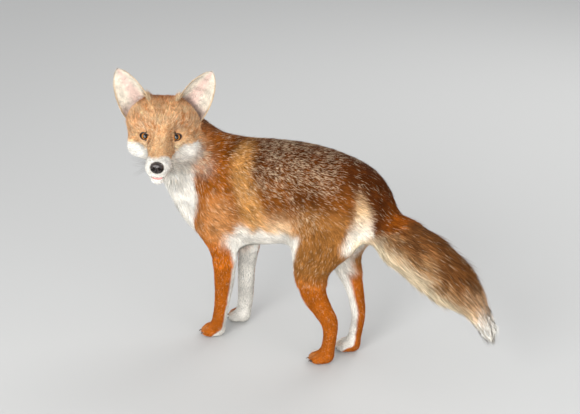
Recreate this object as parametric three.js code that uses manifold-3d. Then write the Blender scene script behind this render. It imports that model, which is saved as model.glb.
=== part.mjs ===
// A life-size red fox, standing, with its head turned back past its left shoulder.
// The fox faces -X, its left side is towards -Y, +Z is up and z = 0 is the floor. Millimetres.
// The outline is that of the coat. One smooth field stands for the whole animal: sweeps and
// lumps that run into each other. Its surface is meshed by region and parted with thin cuts.
import * as THREE from "three";
import { mergeVertices } from "three/addons/utils/BufferGeometryUtils.js";
import Module from "manifold-3d";

const wasm = await Module();
wasm.setup();

// ---- Driving dimensions ----------------------------------------------------------------

const GAP = 0.3; // clear space between neighbouring pieces
const FLOOR = 0;
const FLATNESS = 1.05; // facets of a whole surface that are flatter than this are joined
const SLIVER = 0.08; // facets thinner than this are joined after a cut

// The size of facet on each region, along x, y and z.
const BODY_CELL = [26, 19.5, 19.5];
const LIMB_CELL = [11.5, 11.5, 17];
const PAW_CELL = [7.2, 6.6, 7.2];
const HEAD_CELL = [11, 10.4, 10.4];

// How softly shapes run into each other: the width of the blend.
const BODY_BLEND = 26;
const LIMB_BLEND = 18;
const PAW_BLEND = 5;
const ANKLE_BLEND = 8;
const HEAD_BLEND = 12;
const NAPE_BLEND = 22;

// Trunk: x, height of the back, height of the belly, half width.
const TRUNK = [
  [-70, 330, 242, 34],
  [-46, 366, 210, 50],
  [-10, 396, 186, 61],
  [40, 404, 190, 68],
  [90, 409, 203, 71],
  [140, 413, 214, 71],
  [190, 414, 221, 69],
  [235, 408, 230, 66],
  [275, 396, 238, 61],
  [305, 372, 243, 52],
  [330, 340, 249, 39],
];

// Neck, from inside the head to inside the chest: x, y, z, half width, height above, depth below.
const NECK = [
  [-70, -80, 398, 48, 52, 38],
  [-86, -48, 388, 56, 70, 54],
  [-74, -20, 366, 59, 76, 66],
  [-45, -5, 338, 60, 78, 74],
  [0, 0, 312, 58, 80, 76],
];

// Long hair of the throat and breast, downwards: x, y, z, half width, depth behind and before.
const RUFF = [
  [-74, -56, 350, 32, 40, 12],
  [-72, -40, 310, 38, 46, 16],
  [-58, -22, 268, 41, 50, 25],
  [-38, -8, 230, 36, 46, 25],
  [-12, 0, 200, 26, 36, 20],
];

// Tail, from inside the rump to the last of the brush: x, y, z, radius.
const TAIL = [
  [322, 0, 290, 32],
  [348, -3, 276, 42],
  [378, -8, 262, 50],
  [410, -14, 250, 53],
  [443, -20, 233, 51],
  [480, -24, 213, 43],
  [514, -27, 189, 33],
  [539, -28, 158, 22],
  [552, -29, 134, 14],
];
const TAIL_POINT = 26; // how far the brush runs on past its last ring

// Each leg: rings from inside the trunk to the pastern, as x, y, z, half width, depth behind and
// before; the floor under the ball of the foot; and the degrees its toes turn out.
const LEGS = {
  fore_left: {
    side: -1,
    ball: [2, -39],
    turn: 6,
    rings: [
      [22, -34, 300, 24, 42, 42],
      [8, -46, 245, 26, 40, 38],
      [27, -48, 198, 23, 33, 30],
      [30, -46, 165, 20, 26, 25],
      [28, -44, 134, 18, 23, 23],
      [23, -42, 100, 16, 20, 19],
      [18, -41, 70, 15, 17, 16.5],
      [13, -40, 44, 15, 16, 15],
      [7, -39, 22, 16, 15, 15],
    ],
  },
  fore_right: {
    side: 1,
    ball: [16, 38],
    turn: -6,
    rings: [
      [22, 34, 300, 24, 42, 42],
      [10, 45, 245, 26, 40, 36],
      [30, 46, 198, 23, 30, 28],
      [33, 42, 162, 19, 22, 22],
      [30, 39, 130, 17, 20.5, 20.5],
      [28, 38, 100, 16, 20, 19],
      [27, 38, 70, 15.5, 19, 18],
      [25, 38, 44, 15.5, 17, 16],
      [21, 38, 22, 16, 15, 15],
    ],
  },
  hind_left: {
    side: -1,
    ball: [238, -37],
    turn: 5,
    rings: [
      [262, -30, 318, 30, 52, 50],
      [246, -39, 275, 32, 66, 66],
      [226, -44, 232, 31, 53, 54],
      [215, -46, 196, 28, 40, 40],
      [213, -45, 168, 24, 33, 33],
      [219, -43, 140, 19, 28, 29],
      [235, -41, 113, 16, 23, 23],
      [250, -39, 88, 14.5, 20, 19],
      [252, -38, 64, 13.5, 15, 16],
      [249, -37, 42, 14, 14, 15],
      [245, -37, 22, 15, 14, 15],
    ],
  },
  hind_right: {
    side: 1,
    ball: [262, 28],
    turn: -5,
    rings: [
      [266, 30, 318, 30, 50, 50],
      [262, 38, 275, 31, 58, 62],
      [248, 42, 232, 30, 46, 50],
      [244, 41, 198, 26, 36, 38],
      [252, 37, 168, 21, 29, 30],
      [263, 34, 141, 17, 22, 22],
      [271, 32, 116, 15, 18, 18],
      [277, 30, 90, 14, 17, 17],
      [277, 29, 66, 13.5, 15, 15],
      [273, 28, 44, 14, 14, 14],
      [269, 28, 22, 15, 14, 14],
    ],
  },
};

// Paws: half sizes of the ball, then each pair of toes as forwards, sideways, up and half sizes.
const BALL = [22, 17, 15];
const TOES = [
  [17, 6.4, 10, 12.5, 6.3, 9.5],
  [9, 15, 9.5, 11.5, 5.9, 9],
];
const SOLE_SINK = 1.5; // how far the pads would reach below the floor, before the flats are cut

// Claws: from a toe's middle, how far forward and down the base is, then the size of the cone.
const CLAW = { forward: 8, down: 1, length: 11, radius: 2.1, slope: 22 };

// Head, in its own frame: x runs out of the muzzle, y to the fox's left, z up, and the origin
// is midway between the eyes. The heading is turned from +X, the rear, towards the left side.
const HEAD_AT = [-59, -110, 422];
const HEAD_HEADING = 61.5;
const HEAD_PITCH = -1;
const HEAD_ROLL = -2;
// Skull and muzzle: x, top, bottom, half width.
const SKULL = [
  [-84, 38, -28, 36],
  [-68, 56, -42, 58],
  [-48, 62, -48, 67],
  [-30, 57, -52, 65],
  [-14, 44, -52, 49],
  [2, 25, -54, 30],
  [18, 9, -58, 23],
  [36, -2, -62, 21.5],
  [56, -10, -66, 19.5],
  [74, -17, -65, 15],
];
const CHEEK = { at: [-26, 44, -26], size: [24, 24, 25] };
const BROW = { at: [-15, 24, 17], size: [13, 14, 8] };
const WHISKER_PAD = { at: [62, 12, -34], size: [17, 13, 12] };
const EYE = { at: [-9.5, 28.5, 0], radius: 10.5 };
const EYE_OPENING = { at: [6, 29, -0.5], size: [16, 12, 8] };
const NOSE = { at: [78, 0, -30], size: [11, 12, 10] };
const MUZZLE_CUT = 20; // x of the cut between skull and muzzle
const MOUTH = { corner: [20, -43], front: [80, -49], gape: 1.6 }; // x and z of the lip line

// Ear: a leaf rolled about its own length, from inside the skull to the tip. Each ring is the
// share of the length, the half chord, and half the angle of the roll.
const EAR_BASE = [-44, 44, 26];
const EAR_TIP = [-51, 85, 109];
const EAR_TURN = 14; // degrees that the opening faces outwards
const EAR_LEAN = 3; // both tips lean this far to the fox's left
const EAR_THICK = 3;
const EAR_LIFT = 0.6; // how far the ear's foot stands off the skull, along the ear
const EAR_COLUMNS = 7;
const EAR_RINGS = [
  [0, 28, 100],
  [0.15, 30, 92],
  [0.32, 30, 78],
  [0.5, 28, 64],
  [0.66, 24, 52],
  [0.8, 18, 42],
  [0.91, 11, 34],
  [0.97, 5, 28],
];

// Where the pieces are parted: blocks for the head, in its own frame, and for the upper legs of
// the right side; then cuts across the trunk and tail, each by a point and the way to the rear.
const OVERCUT = 0.8; // how far a mesh runs on past a cut before it is cut, in its own cells
const HEAD_BLOCK = { from: [-84, -82, -68], to: [95, 82, 78] };
const LOWER_LEG_TOP = 168;
const PAW_TOP = 54;
const UPPER_ARM = { from: [-48, 30, 100], to: [84, 90, 236] };
const THIGH = { from: [172, 27, 100], to: [326, 90, 302] };
const TORSO_SPACE = { from: [-180, -170, 90], to: [580, 90, 500] };
const TIP_SPACE = { from: [430, -90, 90], to: [580, 40, 280] };
const TRUNK_CUTS = [
  { at: [-22, 0, 318], way: [0.86, 0.08, -0.5] },
  { at: [92, 0, 300], way: [1, 0, 0] },
  { at: [205, 0, 300], way: [1, 0, 0] },
  { at: [336, 0, 282], way: [0.84, 0, -0.54] },
  { at: [392, -10, 262], way: [0.93, 0, -0.35] },
  { at: [470, -20, 216], way: [0.8, 0, -0.6] },
];
const TRUNK_NAMES = ["neck", "chest", "belly", "rump", "tail_root", "tail_middle", "tail_tip"];

// ---- Colours ---------------------------------------------------------------------------

const finish = (color, roughness = 0.9) => ({ color, roughness, metalness: 0 });
const RUFOUS = finish(0xb4622a);
const GRIZZLED = finish(0x8a5330);
const FACE = finish(0xc07a44);
const CREAM = finish(0xe8ddd0);
const BRUSH = finish(0x9c7148);
const NOSE_LEATHER = finish(0x1c1817, 0.35);
const IRIS = finish(0xb06a1c, 0.1);
const HORN = finish(0x3a3029, 0.45);
const TRUNK_LOOKS = [RUFOUS, GRIZZLED, GRIZZLED, GRIZZLED, BRUSH, BRUSH, CREAM];

// ---- Fields ----------------------------------------------------------------------------
// A field is a function of a point: below zero inside, and near the surface about the distance.

const vec = (p) => new THREE.Vector3(...p);
const unit = (p) => vec(p).normalize();
const UP = new THREE.Vector3(0, 0, 1);
const SIDEWAYS = new THREE.Vector3(0, 1, 0);
const levelSide = (along) => UP.clone().cross(along);
const fixedSide = () => SIDEWAYS.clone();

// How far out a point is, where its offsets from the middle have been shared by the half sizes.
function outness(distance, [x, y, z], power = 2) {
  const q = (Math.abs(x) ** power + Math.abs(y) ** power + Math.abs(z) ** power) ** (1 / power);
  return distance * (1 - 1 / Math.max(q, 1e-3));
}

function lump(at, [a, b, c]) {
  const middle = vec(at);
  return (p) => {
    const d = p.clone().sub(middle);
    return outness(d.length(), [d.x / a, d.y / b, d.z / c]);
  };
}

// A solid about a smooth path through rings of x, y, z, half width, reach above, reach below.
// Each end is a dome as long as ends says.
function sweep(rings, { side = levelSide, power = 2, ends = [12, 12], steps = 4 } = {}) {
  const curve = (pick) => new THREE.CatmullRomCurve3(rings.map(pick), false, "catmullrom", 0.5);
  const path = curve((r) => new THREE.Vector3(r[0], r[1], r[2]));
  const sizes = curve((r) => new THREE.Vector3(r[3], r[4], r[5]));
  const last = (rings.length - 1) * steps;
  const stations = Array.from({ length: last + 1 }, (_, i) => {
    const along = path.getTangent(i / last);
    const across = side(along);
    across.addScaledVector(along, -across.dot(along)).normalize();
    const above = along.clone().cross(across);
    return { at: path.getPoint(i / last), size: sizes.getPoint(i / last), along, across, above };
  });
  const step = new THREE.Vector3();
  const spot = new THREE.Vector3();
  const mix = new THREE.Vector3();
  return (p) => {
    let nearest = Infinity;
    let from = 0;
    let share = 0;
    for (let i = 0; i < last; i++) {
      step.subVectors(stations[i + 1].at, stations[i].at);
      spot.subVectors(p, stations[i].at);
      const t = THREE.MathUtils.clamp(spot.dot(step) / step.lengthSq(), 0, 1);
      const distance = spot.addScaledVector(step, -t).lengthSq();
      if (distance < nearest) [nearest, from, share] = [distance, i, t];
    }
    const [a, b] = [stations[from], stations[from + 1]];
    const offset = p.clone().sub(mix.lerpVectors(a.at, b.at, share));
    const x = offset.dot(mix.lerpVectors(a.across, b.across, share));
    const z = offset.dot(mix.lerpVectors(a.above, b.above, share));
    const size = mix.lerpVectors(a.size, b.size, share);
    let past = 0;
    if (from === 0 && share === 0) past = offset.dot(a.along) / ends[0];
    if (from === last - 1 && share === 1) past = offset.dot(b.along) / ends[1];
    const shares = [x / size.x, z / (z > 0 ? size.y : size.z), past];
    return outness(Math.sqrt(nearest), shares, power);
  };
}

function softMin(a, b, blend) {
  const overlap = Math.max(blend - Math.abs(a - b), 0) / blend;
  return Math.min(a, b) - (overlap * overlap * blend) / 4;
}

const blended = (blend, ...fields) => (p) =>
  fields.map((f) => f(p)).reduce((a, b) => softMin(a, b, blend));

// ---- Solids ----------------------------------------------------------------------------

// A three.js geometry as a manifold-3d solid.
function solidOf(geometry) {
  const bare = new THREE.BufferGeometry();
  bare.setAttribute("position", geometry.getAttribute("position"));
  bare.setIndex(geometry.index);
  const merged = mergeVertices(bare, 1e-3);
  const vertProperties = new Float32Array(merged.attributes.position.array);
  const triVerts = new Uint32Array(merged.index.array);
  return new wasm.Manifold(new wasm.Mesh({ numProp: 3, vertProperties, triVerts }));
}

// A solid as a three.js geometry, with only its largest body kept and a cut's slivers joined up.
function geometryOf(solid) {
  const bodies = solid.asOriginal().simplify(SLIVER).decompose();
  const [largest] = bodies.sort((a, b) => b.volume() - a.volume());
  const mesh = largest.getMesh();
  const geometry = new THREE.BufferGeometry();
  geometry.setAttribute("position", new THREE.BufferAttribute(mesh.vertProperties, 3));
  geometry.setIndex(new THREE.BufferAttribute(mesh.triVerts, 1));
  geometry.computeVertexNormals();
  return geometry;
}

// Moves a point along the field's slope onto its surface.
function settle(field, point, reach) {
  const slope = new THREE.Vector3();
  const probe = new THREE.Vector3();
  for (let round = 0; round < 5; round++) {
    const here = field(point);
    for (const axis of ["x", "y", "z"]) {
      probe.copy(point)[axis] += 0.2;
      slope[axis] = (field(probe) - here) / 0.2;
    }
    const steepness = Math.max(slope.lengthSq(), 0.05);
    point.addScaledVector(slope.multiplyScalar(-here / steepness).clampLength(0, reach), 1);
  }
}

// Calls visit with every i, j and k below the three counts.
function eachOf([ni, nj, nk], visit) {
  for (let k = 0; k < nk; k++) {
    for (let j = 0; j < nj; j++) {
      for (let i = 0; i < ni; i++) visit(i, j, k);
    }
  }
}

// The surface of a field as a closed solid: one vertex in each cell that the surface crosses,
// and one pair of triangles round each edge of the grid that it crosses.
function surfaceOf(field, box, cell) {
  const size = box.getSize(new THREE.Vector3()).toArray();
  const counts = size.map((s, axis) => Math.ceil(s / cell[axis]) + 3);
  const [nx, ny, nz] = counts;
  const start = box.min.clone().sub(vec(cell));
  const at = (i, j, k) => new THREE.Vector3(i, j, k).multiply(vec(cell)).add(start);
  const id = (i, j, k) => (k * ny + j) * nx + i;
  const values = new Float64Array(nx * ny * nz);
  eachOf(counts, (i, j, k) => {
    values[id(i, j, k)] = field(at(i, j, k));
  });
  const eachCell = (visit) => eachOf(counts.map((n) => n - 1), visit);

  const points = [];
  const vertexOf = new Map();
  eachCell((i, j, k) => {
    const sum = new THREE.Vector3();
    let crossings = 0;
    for (const [a, b] of CELL_EDGES) {
      const [va, vb] = [a, b].map(([x, y, z]) => values[id(i + x, j + y, k + z)]);
      if (va < 0 === vb < 0) continue;
      const [pa, pb] = [a, b].map(([x, y, z]) => at(i + x, j + y, k + z));
      sum.add(pa.lerp(pb, va / (va - vb)));
      crossings++;
    }
    if (crossings === 0) return;
    const point = sum.divideScalar(crossings);
    settle(field, point, Math.min(...cell) / 3);
    vertexOf.set(id(i, j, k), points.push(point) - 1);
  });

  const index = [];
  const steps = [1, nx, nx * ny];
  eachCell((i, j, k) => {
    const here = id(i, j, k);
    steps.forEach((along, axis) => {
      const inside = values[here] < 0;
      if (inside === values[here + along] < 0) return;
      const [u, v] = [steps[(axis + 1) % 3], steps[(axis + 2) % 3]];
      const round = [here, here - u, here - u - v, here - v].map((c) => vertexOf.get(c));
      const [a, b, c, d] = inside ? round : round.reverse();
      const shorter = points[a].distanceTo(points[c]) < points[b].distanceTo(points[d]);
      index.push(...(shorter ? [a, b, c, a, c, d] : [a, b, d, b, c, d]));
    });
  });
  const geometry = new THREE.BufferGeometry().setFromPoints(points).setIndex(index);
  return solidOf(geometry).asOriginal().simplify(FLATNESS);
}

// The twelve edges of a cell, each as its two corners.
const CELL_EDGES = [0, 1, 2].flatMap((axis) =>
  [0, 1, 2, 3].map((n) => {
    const from = [0, 0, 0];
    from[(axis + 1) % 3] = n & 1;
    from[(axis + 2) % 3] = n >> 1;
    const to = [...from];
    to[axis] = 1;
    return [from, to];
  }),
);

// A closed tube through loops of points, each end closed by a pole.
function tube(loops, startPole, endPole) {
  const sides = loops[0].length;
  const points = [...loops.flat(), startPole, endPole];
  const [start, end] = [points.length - 2, points.length - 1];
  const last = (loops.length - 1) * sides;
  const index = [];
  for (let j = 0; j < sides; j++) {
    const next = (j + 1) % sides;
    index.push(start, next, j);
    for (let row = 0; row < last; row += sides) {
      const [a, b, c, d] = [row + j, row + next, row + sides + next, row + sides + j];
      index.push(a, b, c, a, c, d);
    }
    index.push(end, last + j, last + next);
  }
  return new THREE.BufferGeometry().setFromPoints(points).setIndex(index);
}

// What lies of a solid beyond a plane, on the side its normal points to, less half a gap.
function beyond(solid, point, normal, gap = GAP / 2) {
  return solid.trimByPlane(normal.toArray(), point.dot(normal) + gap);
}

// A solid parted at each [point, normal] in turn, from the side that the normals point away from.
function parted(solid, planes) {
  const pieces = [];
  let rest = solid;
  for (const [point, normal] of planes) {
    pieces.push(beyond(rest, point, normal.clone().negate()));
    rest = beyond(rest, point, normal);
  }
  return [...pieces, rest];
}

// ---- The animal as fields --------------------------------------------------------------

const SIDES = { left: 1, right: -1 };
const onSide = ([x, y, z], side) => [x, side * y, z];
const bothSides = ({ at, size }) => Object.values(SIDES).map((side) => lump(onSide(at, side), size));
const centred = ([x, top, bottom, wide]) => [
  x, 0, (top + bottom) / 2, wide, (top - bottom) / 2, (top - bottom) / 2,
];
const round = ([x, y, z, radius]) => [x, y, z, radius, radius, radius];

const radians = THREE.MathUtils.degToRad;
const headFrame = new THREE.Matrix4()
  .makeRotationFromEuler(
    new THREE.Euler(radians(HEAD_ROLL), radians(-HEAD_PITCH), radians(-HEAD_HEADING), "ZYX"),
  )
  .setPosition(...HEAD_AT);
const intoHead = headFrame.clone().invert();

const skullField = blended(
  HEAD_BLEND,
  sweep(SKULL.map(centred), { power: 2.25, ends: [12, 8] }),
  ...bothSides(CHEEK),
  ...bothSides(BROW),
  ...bothSides(WHISKER_PAD),
);
const axialField = blended(
  BODY_BLEND,
  sweep(TRUNK.map(centred), { power: 2.2, ends: [14, 18] }),
  sweep(NECK, { ends: [20, 20] }),
  sweep(RUFF, { side: fixedSide, ends: [16, 16] }),
  sweep(TAIL.map(round), { ends: [14, TAIL_POINT] }),
);
const legFields = Object.fromEntries(
  Object.entries(LEGS).map(([leg, { rings }]) => [
    leg,
    sweep(rings, { side: fixedSide, ends: [20, 8], steps: 3 }),
  ]),
);

function bodyField(p) {
  const trunk = Object.values(legFields).reduce(
    (all, leg) => softMin(all, leg(p), LIMB_BLEND),
    axialField(p),
  );
  return softMin(trunk, skullField(p.clone().applyMatrix4(intoHead)), NAPE_BLEND);
}

const pawFrame = ({ ball, turn }) =>
  new THREE.Matrix4().makeRotationZ(radians(turn)).setPosition(...ball, -SOLE_SINK);
const toePlaces = TOES.flatMap(([x, y, z, ...size]) =>
  Object.values(SIDES).map((side) => ({ at: [-x, side * y, z], size })),
);

// A leg without the trunk, with its foot.
function legField(leg) {
  const intoPaw = pawFrame(leg).invert();
  const ball = lump([0, 0, BALL[2]], BALL);
  const foot = blended(PAW_BLEND, ball, ...toePlaces.map(({ at, size }) => lump(at, size)));
  const limb = sweep(leg.rings, { side: fixedSide, ends: [20, 8], steps: 3 });
  return (p) => softMin(limb(p), foot(p.clone().applyMatrix4(intoPaw)), ANKLE_BLEND);
}

// ---- Ears and claws --------------------------------------------------------------------

function earLength(side) {
  const tip = vec(onSide(EAR_TIP, side));
  tip.y += EAR_LEAN;
  return tip.sub(vec(onSide(EAR_BASE, side)));
}

function earSolid(side) {
  const base = vec(onSide(EAR_BASE, side));
  const length = earLength(side);
  const along = length.clone().normalize();
  const forward = new THREE.Vector3(1, 0, 0).addScaledVector(along, -along.x).normalize();
  forward.applyAxisAngle(along, side * radians(EAR_TURN));
  const outward = along.clone().cross(forward);
  const loops = EAR_RINGS.map(([share, chord, angle]) => {
    const roll = radians(angle);
    const radius = chord / Math.sin(Math.min(roll, Math.PI / 2));
    const centre = base.clone().addScaledVector(length, share);
    centre.addScaledVector(forward, radius * Math.cos(roll));
    const at = (turn, r) =>
      centre
        .clone()
        .addScaledVector(outward, r * Math.sin(turn))
        .addScaledVector(forward, -r * Math.cos(turn));
    const turns = Array.from(
      { length: EAR_COLUMNS },
      (_, i) => roll * ((2 * i) / (EAR_COLUMNS - 1) - 1),
    );
    const thick = (turn) => EAR_THICK * (1 - 0.5 * Math.abs(turn / roll) ** 3);
    const inner = turns.map((turn) => at(turn, radius));
    const outer = turns.map((turn) => at(turn, radius + thick(turn))).reverse();
    return [...inner, ...outer];
  });
  return solidOf(tube(loops, base.clone().addScaledVector(along, -4), base.clone().add(length)));
}

const clawPlaces = (leg) =>
  toePlaces.map(({ at }) => {
    const root = vec(at).add(new THREE.Vector3(-CLAW.forward, 0, -CLAW.down));
    const way = new THREE.Vector3(-1, 0, 0).applyAxisAngle(SIDEWAYS, -radians(CLAW.slope));
    const frame = pawFrame(leg);
    return { root: root.applyMatrix4(frame), way: way.transformDirection(frame) };
  });

function claw({ root, way }, grow = 0) {
  const cone = new THREE.ConeGeometry(CLAW.radius + grow, CLAW.length + 2 * grow, 7);
  cone.translate(0, CLAW.length / 2, 0);
  cone.applyQuaternion(new THREE.Quaternion().setFromUnitVectors(new THREE.Vector3(0, 1, 0), way));
  return solidOf(cone.translate(...root));
}

// ---- Assembly --------------------------------------------------------------------------

const fox = new THREE.Group();
const head = new THREE.Group();
head.applyMatrix4(headFrame);
fox.add(head);

function addMesh(group, name, solid, look) {
  const mesh = new THREE.Mesh(geometryOf(solid), new THREE.MeshStandardMaterial(look));
  mesh.name = name;
  group.add(mesh);
}

const boxOf = ({ from, to }) => new THREE.Box3(vec(from), vec(to));
const mirrored = ({ from, to }) => ({
  from: [from[0], -to[1], from[2]],
  to: [to[0], -from[1], to[2]],
});

// How far a mesh of such cells runs on past a cut.
const overcut = (cell) => OVERCUT * Math.max(...cell);

// A box as a solid, grown on every side.
function blockSolid(box, grow = 0) {
  const grown = box.clone().expandByScalar(grow);
  const [size, middle] = [grown.getSize(new THREE.Vector3()), grown.getCenter(new THREE.Vector3())];
  return solidOf(new THREE.BoxGeometry(...size).translate(...middle));
}

function blockField(box) {
  const middle = box.getCenter(new THREE.Vector3());
  const half = box.getSize(new THREE.Vector3()).multiplyScalar(0.5);
  return (p) => Math.max(...["x", "y", "z"].map((a) => Math.abs(p[a] - middle[a]) - half[a]));
}

const ellipsoid = ({ at, size }, grow = 0, columns = 11, rows = 7) =>
  solidOf(
    new THREE.SphereGeometry(1, columns, rows)
      .rotateX(Math.PI / 2)
      .scale(...size.map((s) => s + grow))
      .translate(...at),
  );

// The head, and each leg from the elbow or knee down, are meshed apart from the torso.
const headBlock = boxOf(HEAD_BLOCK);
const headBlockField = blockField(headBlock);
const legBlocks = {};
for (const [leg, { ball, side }] of Object.entries(LEGS)) {
  const right = { from: [ball[0] - 45, 0, -20], to: [ball[0] + 62, 90, LOWER_LEG_TOP] };
  legBlocks[leg] = boxOf(side < 0 ? mirrored(right) : right);
}
const legBlockFields = Object.values(legBlocks).map(blockField);

function torsoField(p) {
  const byHead = headBlockField(p.clone().applyMatrix4(intoHead));
  const blocks = [byHead, ...legBlockFields.map((f) => f(p))];
  return Math.max(bodyField(p), -Math.min(...blocks) - overcut(BODY_CELL));
}

const headGap = blockSolid(headBlock, GAP / 2).transform(headFrame.elements);
const legGaps = Object.values(legBlocks).map((block) => blockSolid(block, GAP / 2));
const torso = [headGap, ...legGaps].reduce(
  (solid, block) => solid.subtract(block),
  surfaceOf(torsoField, boxOf(TORSO_SPACE), BODY_CELL),
);
const torsoByHead = torso.transform(intoHead.elements);

// Head
const headField = (p) => bodyField(p.clone().applyMatrix4(headFrame));
const headClipped = (p) => Math.max(headField(p), headBlockField(p) - overcut(HEAD_CELL));
const headSpace = headBlock.clone().expandByScalar(overcut(HEAD_CELL));
const headSurface = surfaceOf(headClipped, headSpace, HEAD_CELL);
const wholeHead = headSurface.intersect(blockSolid(headBlock, -GAP / 2));
const hollows = [ellipsoid(NOSE, GAP)];
for (const side of Object.values(SIDES)) {
  const eye = { at: onSide(EYE.at, side), size: [EYE.radius, EYE.radius, EYE.radius] };
  hollows.push(ellipsoid(eye, GAP), ellipsoid({ ...EYE_OPENING, at: onSide(EYE_OPENING.at, side) }));
}
const carved = hollows.reduce((solid, hollow) => solid.subtract(hollow), wholeHead);
const [cranium, jaws] = parted(carved, [[vec([MUZZLE_CUT, 0, 0]), vec([1, 0, 0])]]);
const lip = (gape) => {
  const [dx, dz] = [MOUTH.front[0] - MOUTH.corner[0], MOUTH.front[1] + gape / 2 - MOUTH.corner[1]];
  return [vec([MOUTH.corner[0], 0, MOUTH.corner[1]]), unit([-dz, 0, dx])];
};
const [upperLip, upperWay] = lip(MOUTH.gape);
const [lowerLip, lowerWay] = lip(-MOUTH.gape);
addMesh(head, "head", cranium, FACE);
addMesh(head, "muzzle", beyond(jaws, upperLip, upperWay), FACE);
addMesh(head, "lower_jaw", beyond(jaws, lowerLip, lowerWay.negate()), CREAM);
addMesh(head, "nose", ellipsoid(NOSE), NOSE_LEATHER);

for (const [name, side] of Object.entries(SIDES)) {
  const eye = { at: onSide(EYE.at, side), size: [EYE.radius, EYE.radius, EYE.radius] };
  addMesh(head, "eye_" + name, ellipsoid(eye), IRIS);
  const lift = earLength(side).setLength(EAR_LIFT).toArray();
  const footing = [wholeHead, torsoByHead].map((solid) => solid.translate(lift));
  addMesh(head, "ear_" + name, earSolid(side).subtract(footing[0]).subtract(footing[1]), RUFOUS);
}

// Trunk, tail and upper legs
const upperLegs = { fore_left: UPPER_ARM, fore_right: UPPER_ARM, hind_left: THIGH, hind_right: THIGH };
let trunk = torso;
for (const [leg, block] of Object.entries(upperLegs)) {
  const box = boxOf(LEGS[leg].side < 0 ? mirrored(block) : block);
  addMesh(fox, leg + "_upper", torso.intersect(blockSolid(box, -GAP / 2)), RUFOUS);
  trunk = trunk.subtract(blockSolid(box, GAP / 2));
}
const trunkPlanes = TRUNK_CUTS.map(({ at, way }) => [vec(at), unit(way)]);
const trunkPieces = parted(trunk, trunkPlanes);

// The end of the brush is meshed apart from the rest, in smaller cells.
const [tipAt, tipWay] = trunkPlanes.at(-1);
const beforeTip = (p) => tipAt.clone().sub(p).dot(tipWay) - overcut(LIMB_CELL);
const tipField = (p) => Math.max(axialField(p), beforeTip(p));
const tipSurface = surfaceOf(tipField, boxOf(TIP_SPACE), LIMB_CELL);
trunkPieces[trunkPieces.length - 1] = beyond(tipSurface, tipAt, tipWay);
trunkPieces.forEach((solid, i) => addMesh(fox, TRUNK_NAMES[i], solid, TRUNK_LOOKS[i]));

// Lower legs, paws and claws
Object.entries(LEGS).forEach(([leg, shape], i) => {
  const field = legField(shape);
  const clipped = (p) => Math.max(field(p), legBlockFields[i](p) - overcut(LIMB_CELL));
  const space = legBlocks[leg].clone().expandByScalar(overcut(LIMB_CELL));
  const ankle = [vec([0, 0, PAW_TOP]), UP];
  const floor = vec([0, 0, FLOOR]);
  const shin = beyond(surfaceOf(clipped, space, LIMB_CELL), ...ankle);
  addMesh(fox, leg + "_lower", shin.intersect(blockSolid(legBlocks[leg], -GAP / 2)), RUFOUS);
  const foot = (p) => Math.max(field(p), p.z - PAW_TOP - overcut(PAW_CELL));
  space.max.z = PAW_TOP + overcut(PAW_CELL);
  let paw = beyond(surfaceOf(foot, space, PAW_CELL), ankle[0], UP.clone().negate());
  paw = beyond(paw, floor, UP, 0);
  clawPlaces(shape).forEach((place, n) => {
    addMesh(fox, leg + "_claw_" + (n + 1), claw(place), HORN);
    paw = paw.subtract(claw(place, GAP));
  });
  addMesh(fox, leg + "_paw", paw, RUFOUS);
});

// The origin is the middle of the box's bottom.
fox.updateMatrixWorld(true);
const box = new THREE.Box3().setFromObject(fox, true);
const middle = box.getCenter(new THREE.Vector3());
fox.position.set(-middle.x, -middle.y, -box.min.z);

export default fox;
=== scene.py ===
"""A life-size red fox: skin, coat, eyes, nose, mouth, whiskers and claws over the solids."""
import math
import bpy
import numpy as np
from mathutils import Matrix, Vector
from mathutils.bvhtree import BVHTree


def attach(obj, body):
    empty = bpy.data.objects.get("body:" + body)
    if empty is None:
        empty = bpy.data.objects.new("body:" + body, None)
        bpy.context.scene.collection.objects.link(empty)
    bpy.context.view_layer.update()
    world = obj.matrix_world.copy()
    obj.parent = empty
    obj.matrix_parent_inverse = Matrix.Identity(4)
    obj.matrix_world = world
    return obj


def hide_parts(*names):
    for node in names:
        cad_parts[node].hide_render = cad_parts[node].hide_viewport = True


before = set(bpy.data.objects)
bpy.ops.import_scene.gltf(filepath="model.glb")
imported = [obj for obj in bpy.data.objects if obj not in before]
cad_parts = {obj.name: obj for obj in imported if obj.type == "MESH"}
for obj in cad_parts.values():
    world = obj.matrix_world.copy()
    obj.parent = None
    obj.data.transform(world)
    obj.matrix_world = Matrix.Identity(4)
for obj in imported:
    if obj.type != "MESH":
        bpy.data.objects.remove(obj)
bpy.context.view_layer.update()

# ---- Frames --------------------------------------------------------------------------------
# Shapes are planned in millimetres, measured from the floor under the left forefoot: x runs back
# to the tail, y to the fox's right and z up. The head has a frame of its own: x out of the
# muzzle, y to the fox's left, z up, from midway between the eyes.

MM = 0.001
FOOT = np.array([-203.38, 58.637, 0.0])  # the left forefoot's place in the row frame
HEAD_AT = np.array([-59.0, -110.0, 422.0])
HEAD_HEADING, HEAD_PITCH, HEAD_ROLL = -61.5, 1.0, -2.0


def turn(degrees, axis):
    return np.array(Matrix.Rotation(math.radians(degrees), 3, axis))


HEAD_TURN = turn(HEAD_HEADING, "Z") @ turn(HEAD_PITCH, "Y") @ turn(HEAD_ROLL, "X")


def placed(p):
    """Planned millimetres to metres in the row frame."""
    return (np.asarray(p, float) + FOOT) * MM


def planned(p):
    return np.asarray(p, float) / MM - FOOT


def from_head(h):
    return np.asarray(h, float) @ HEAD_TURN.T + HEAD_AT


def to_head(p):
    return (np.asarray(p, float) - HEAD_AT) @ HEAD_TURN


def on_head(h):
    """Millimetres in the head's frame to metres in the row frame."""
    return placed(from_head(h))


# ---- Numbers -------------------------------------------------------------------------------


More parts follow.
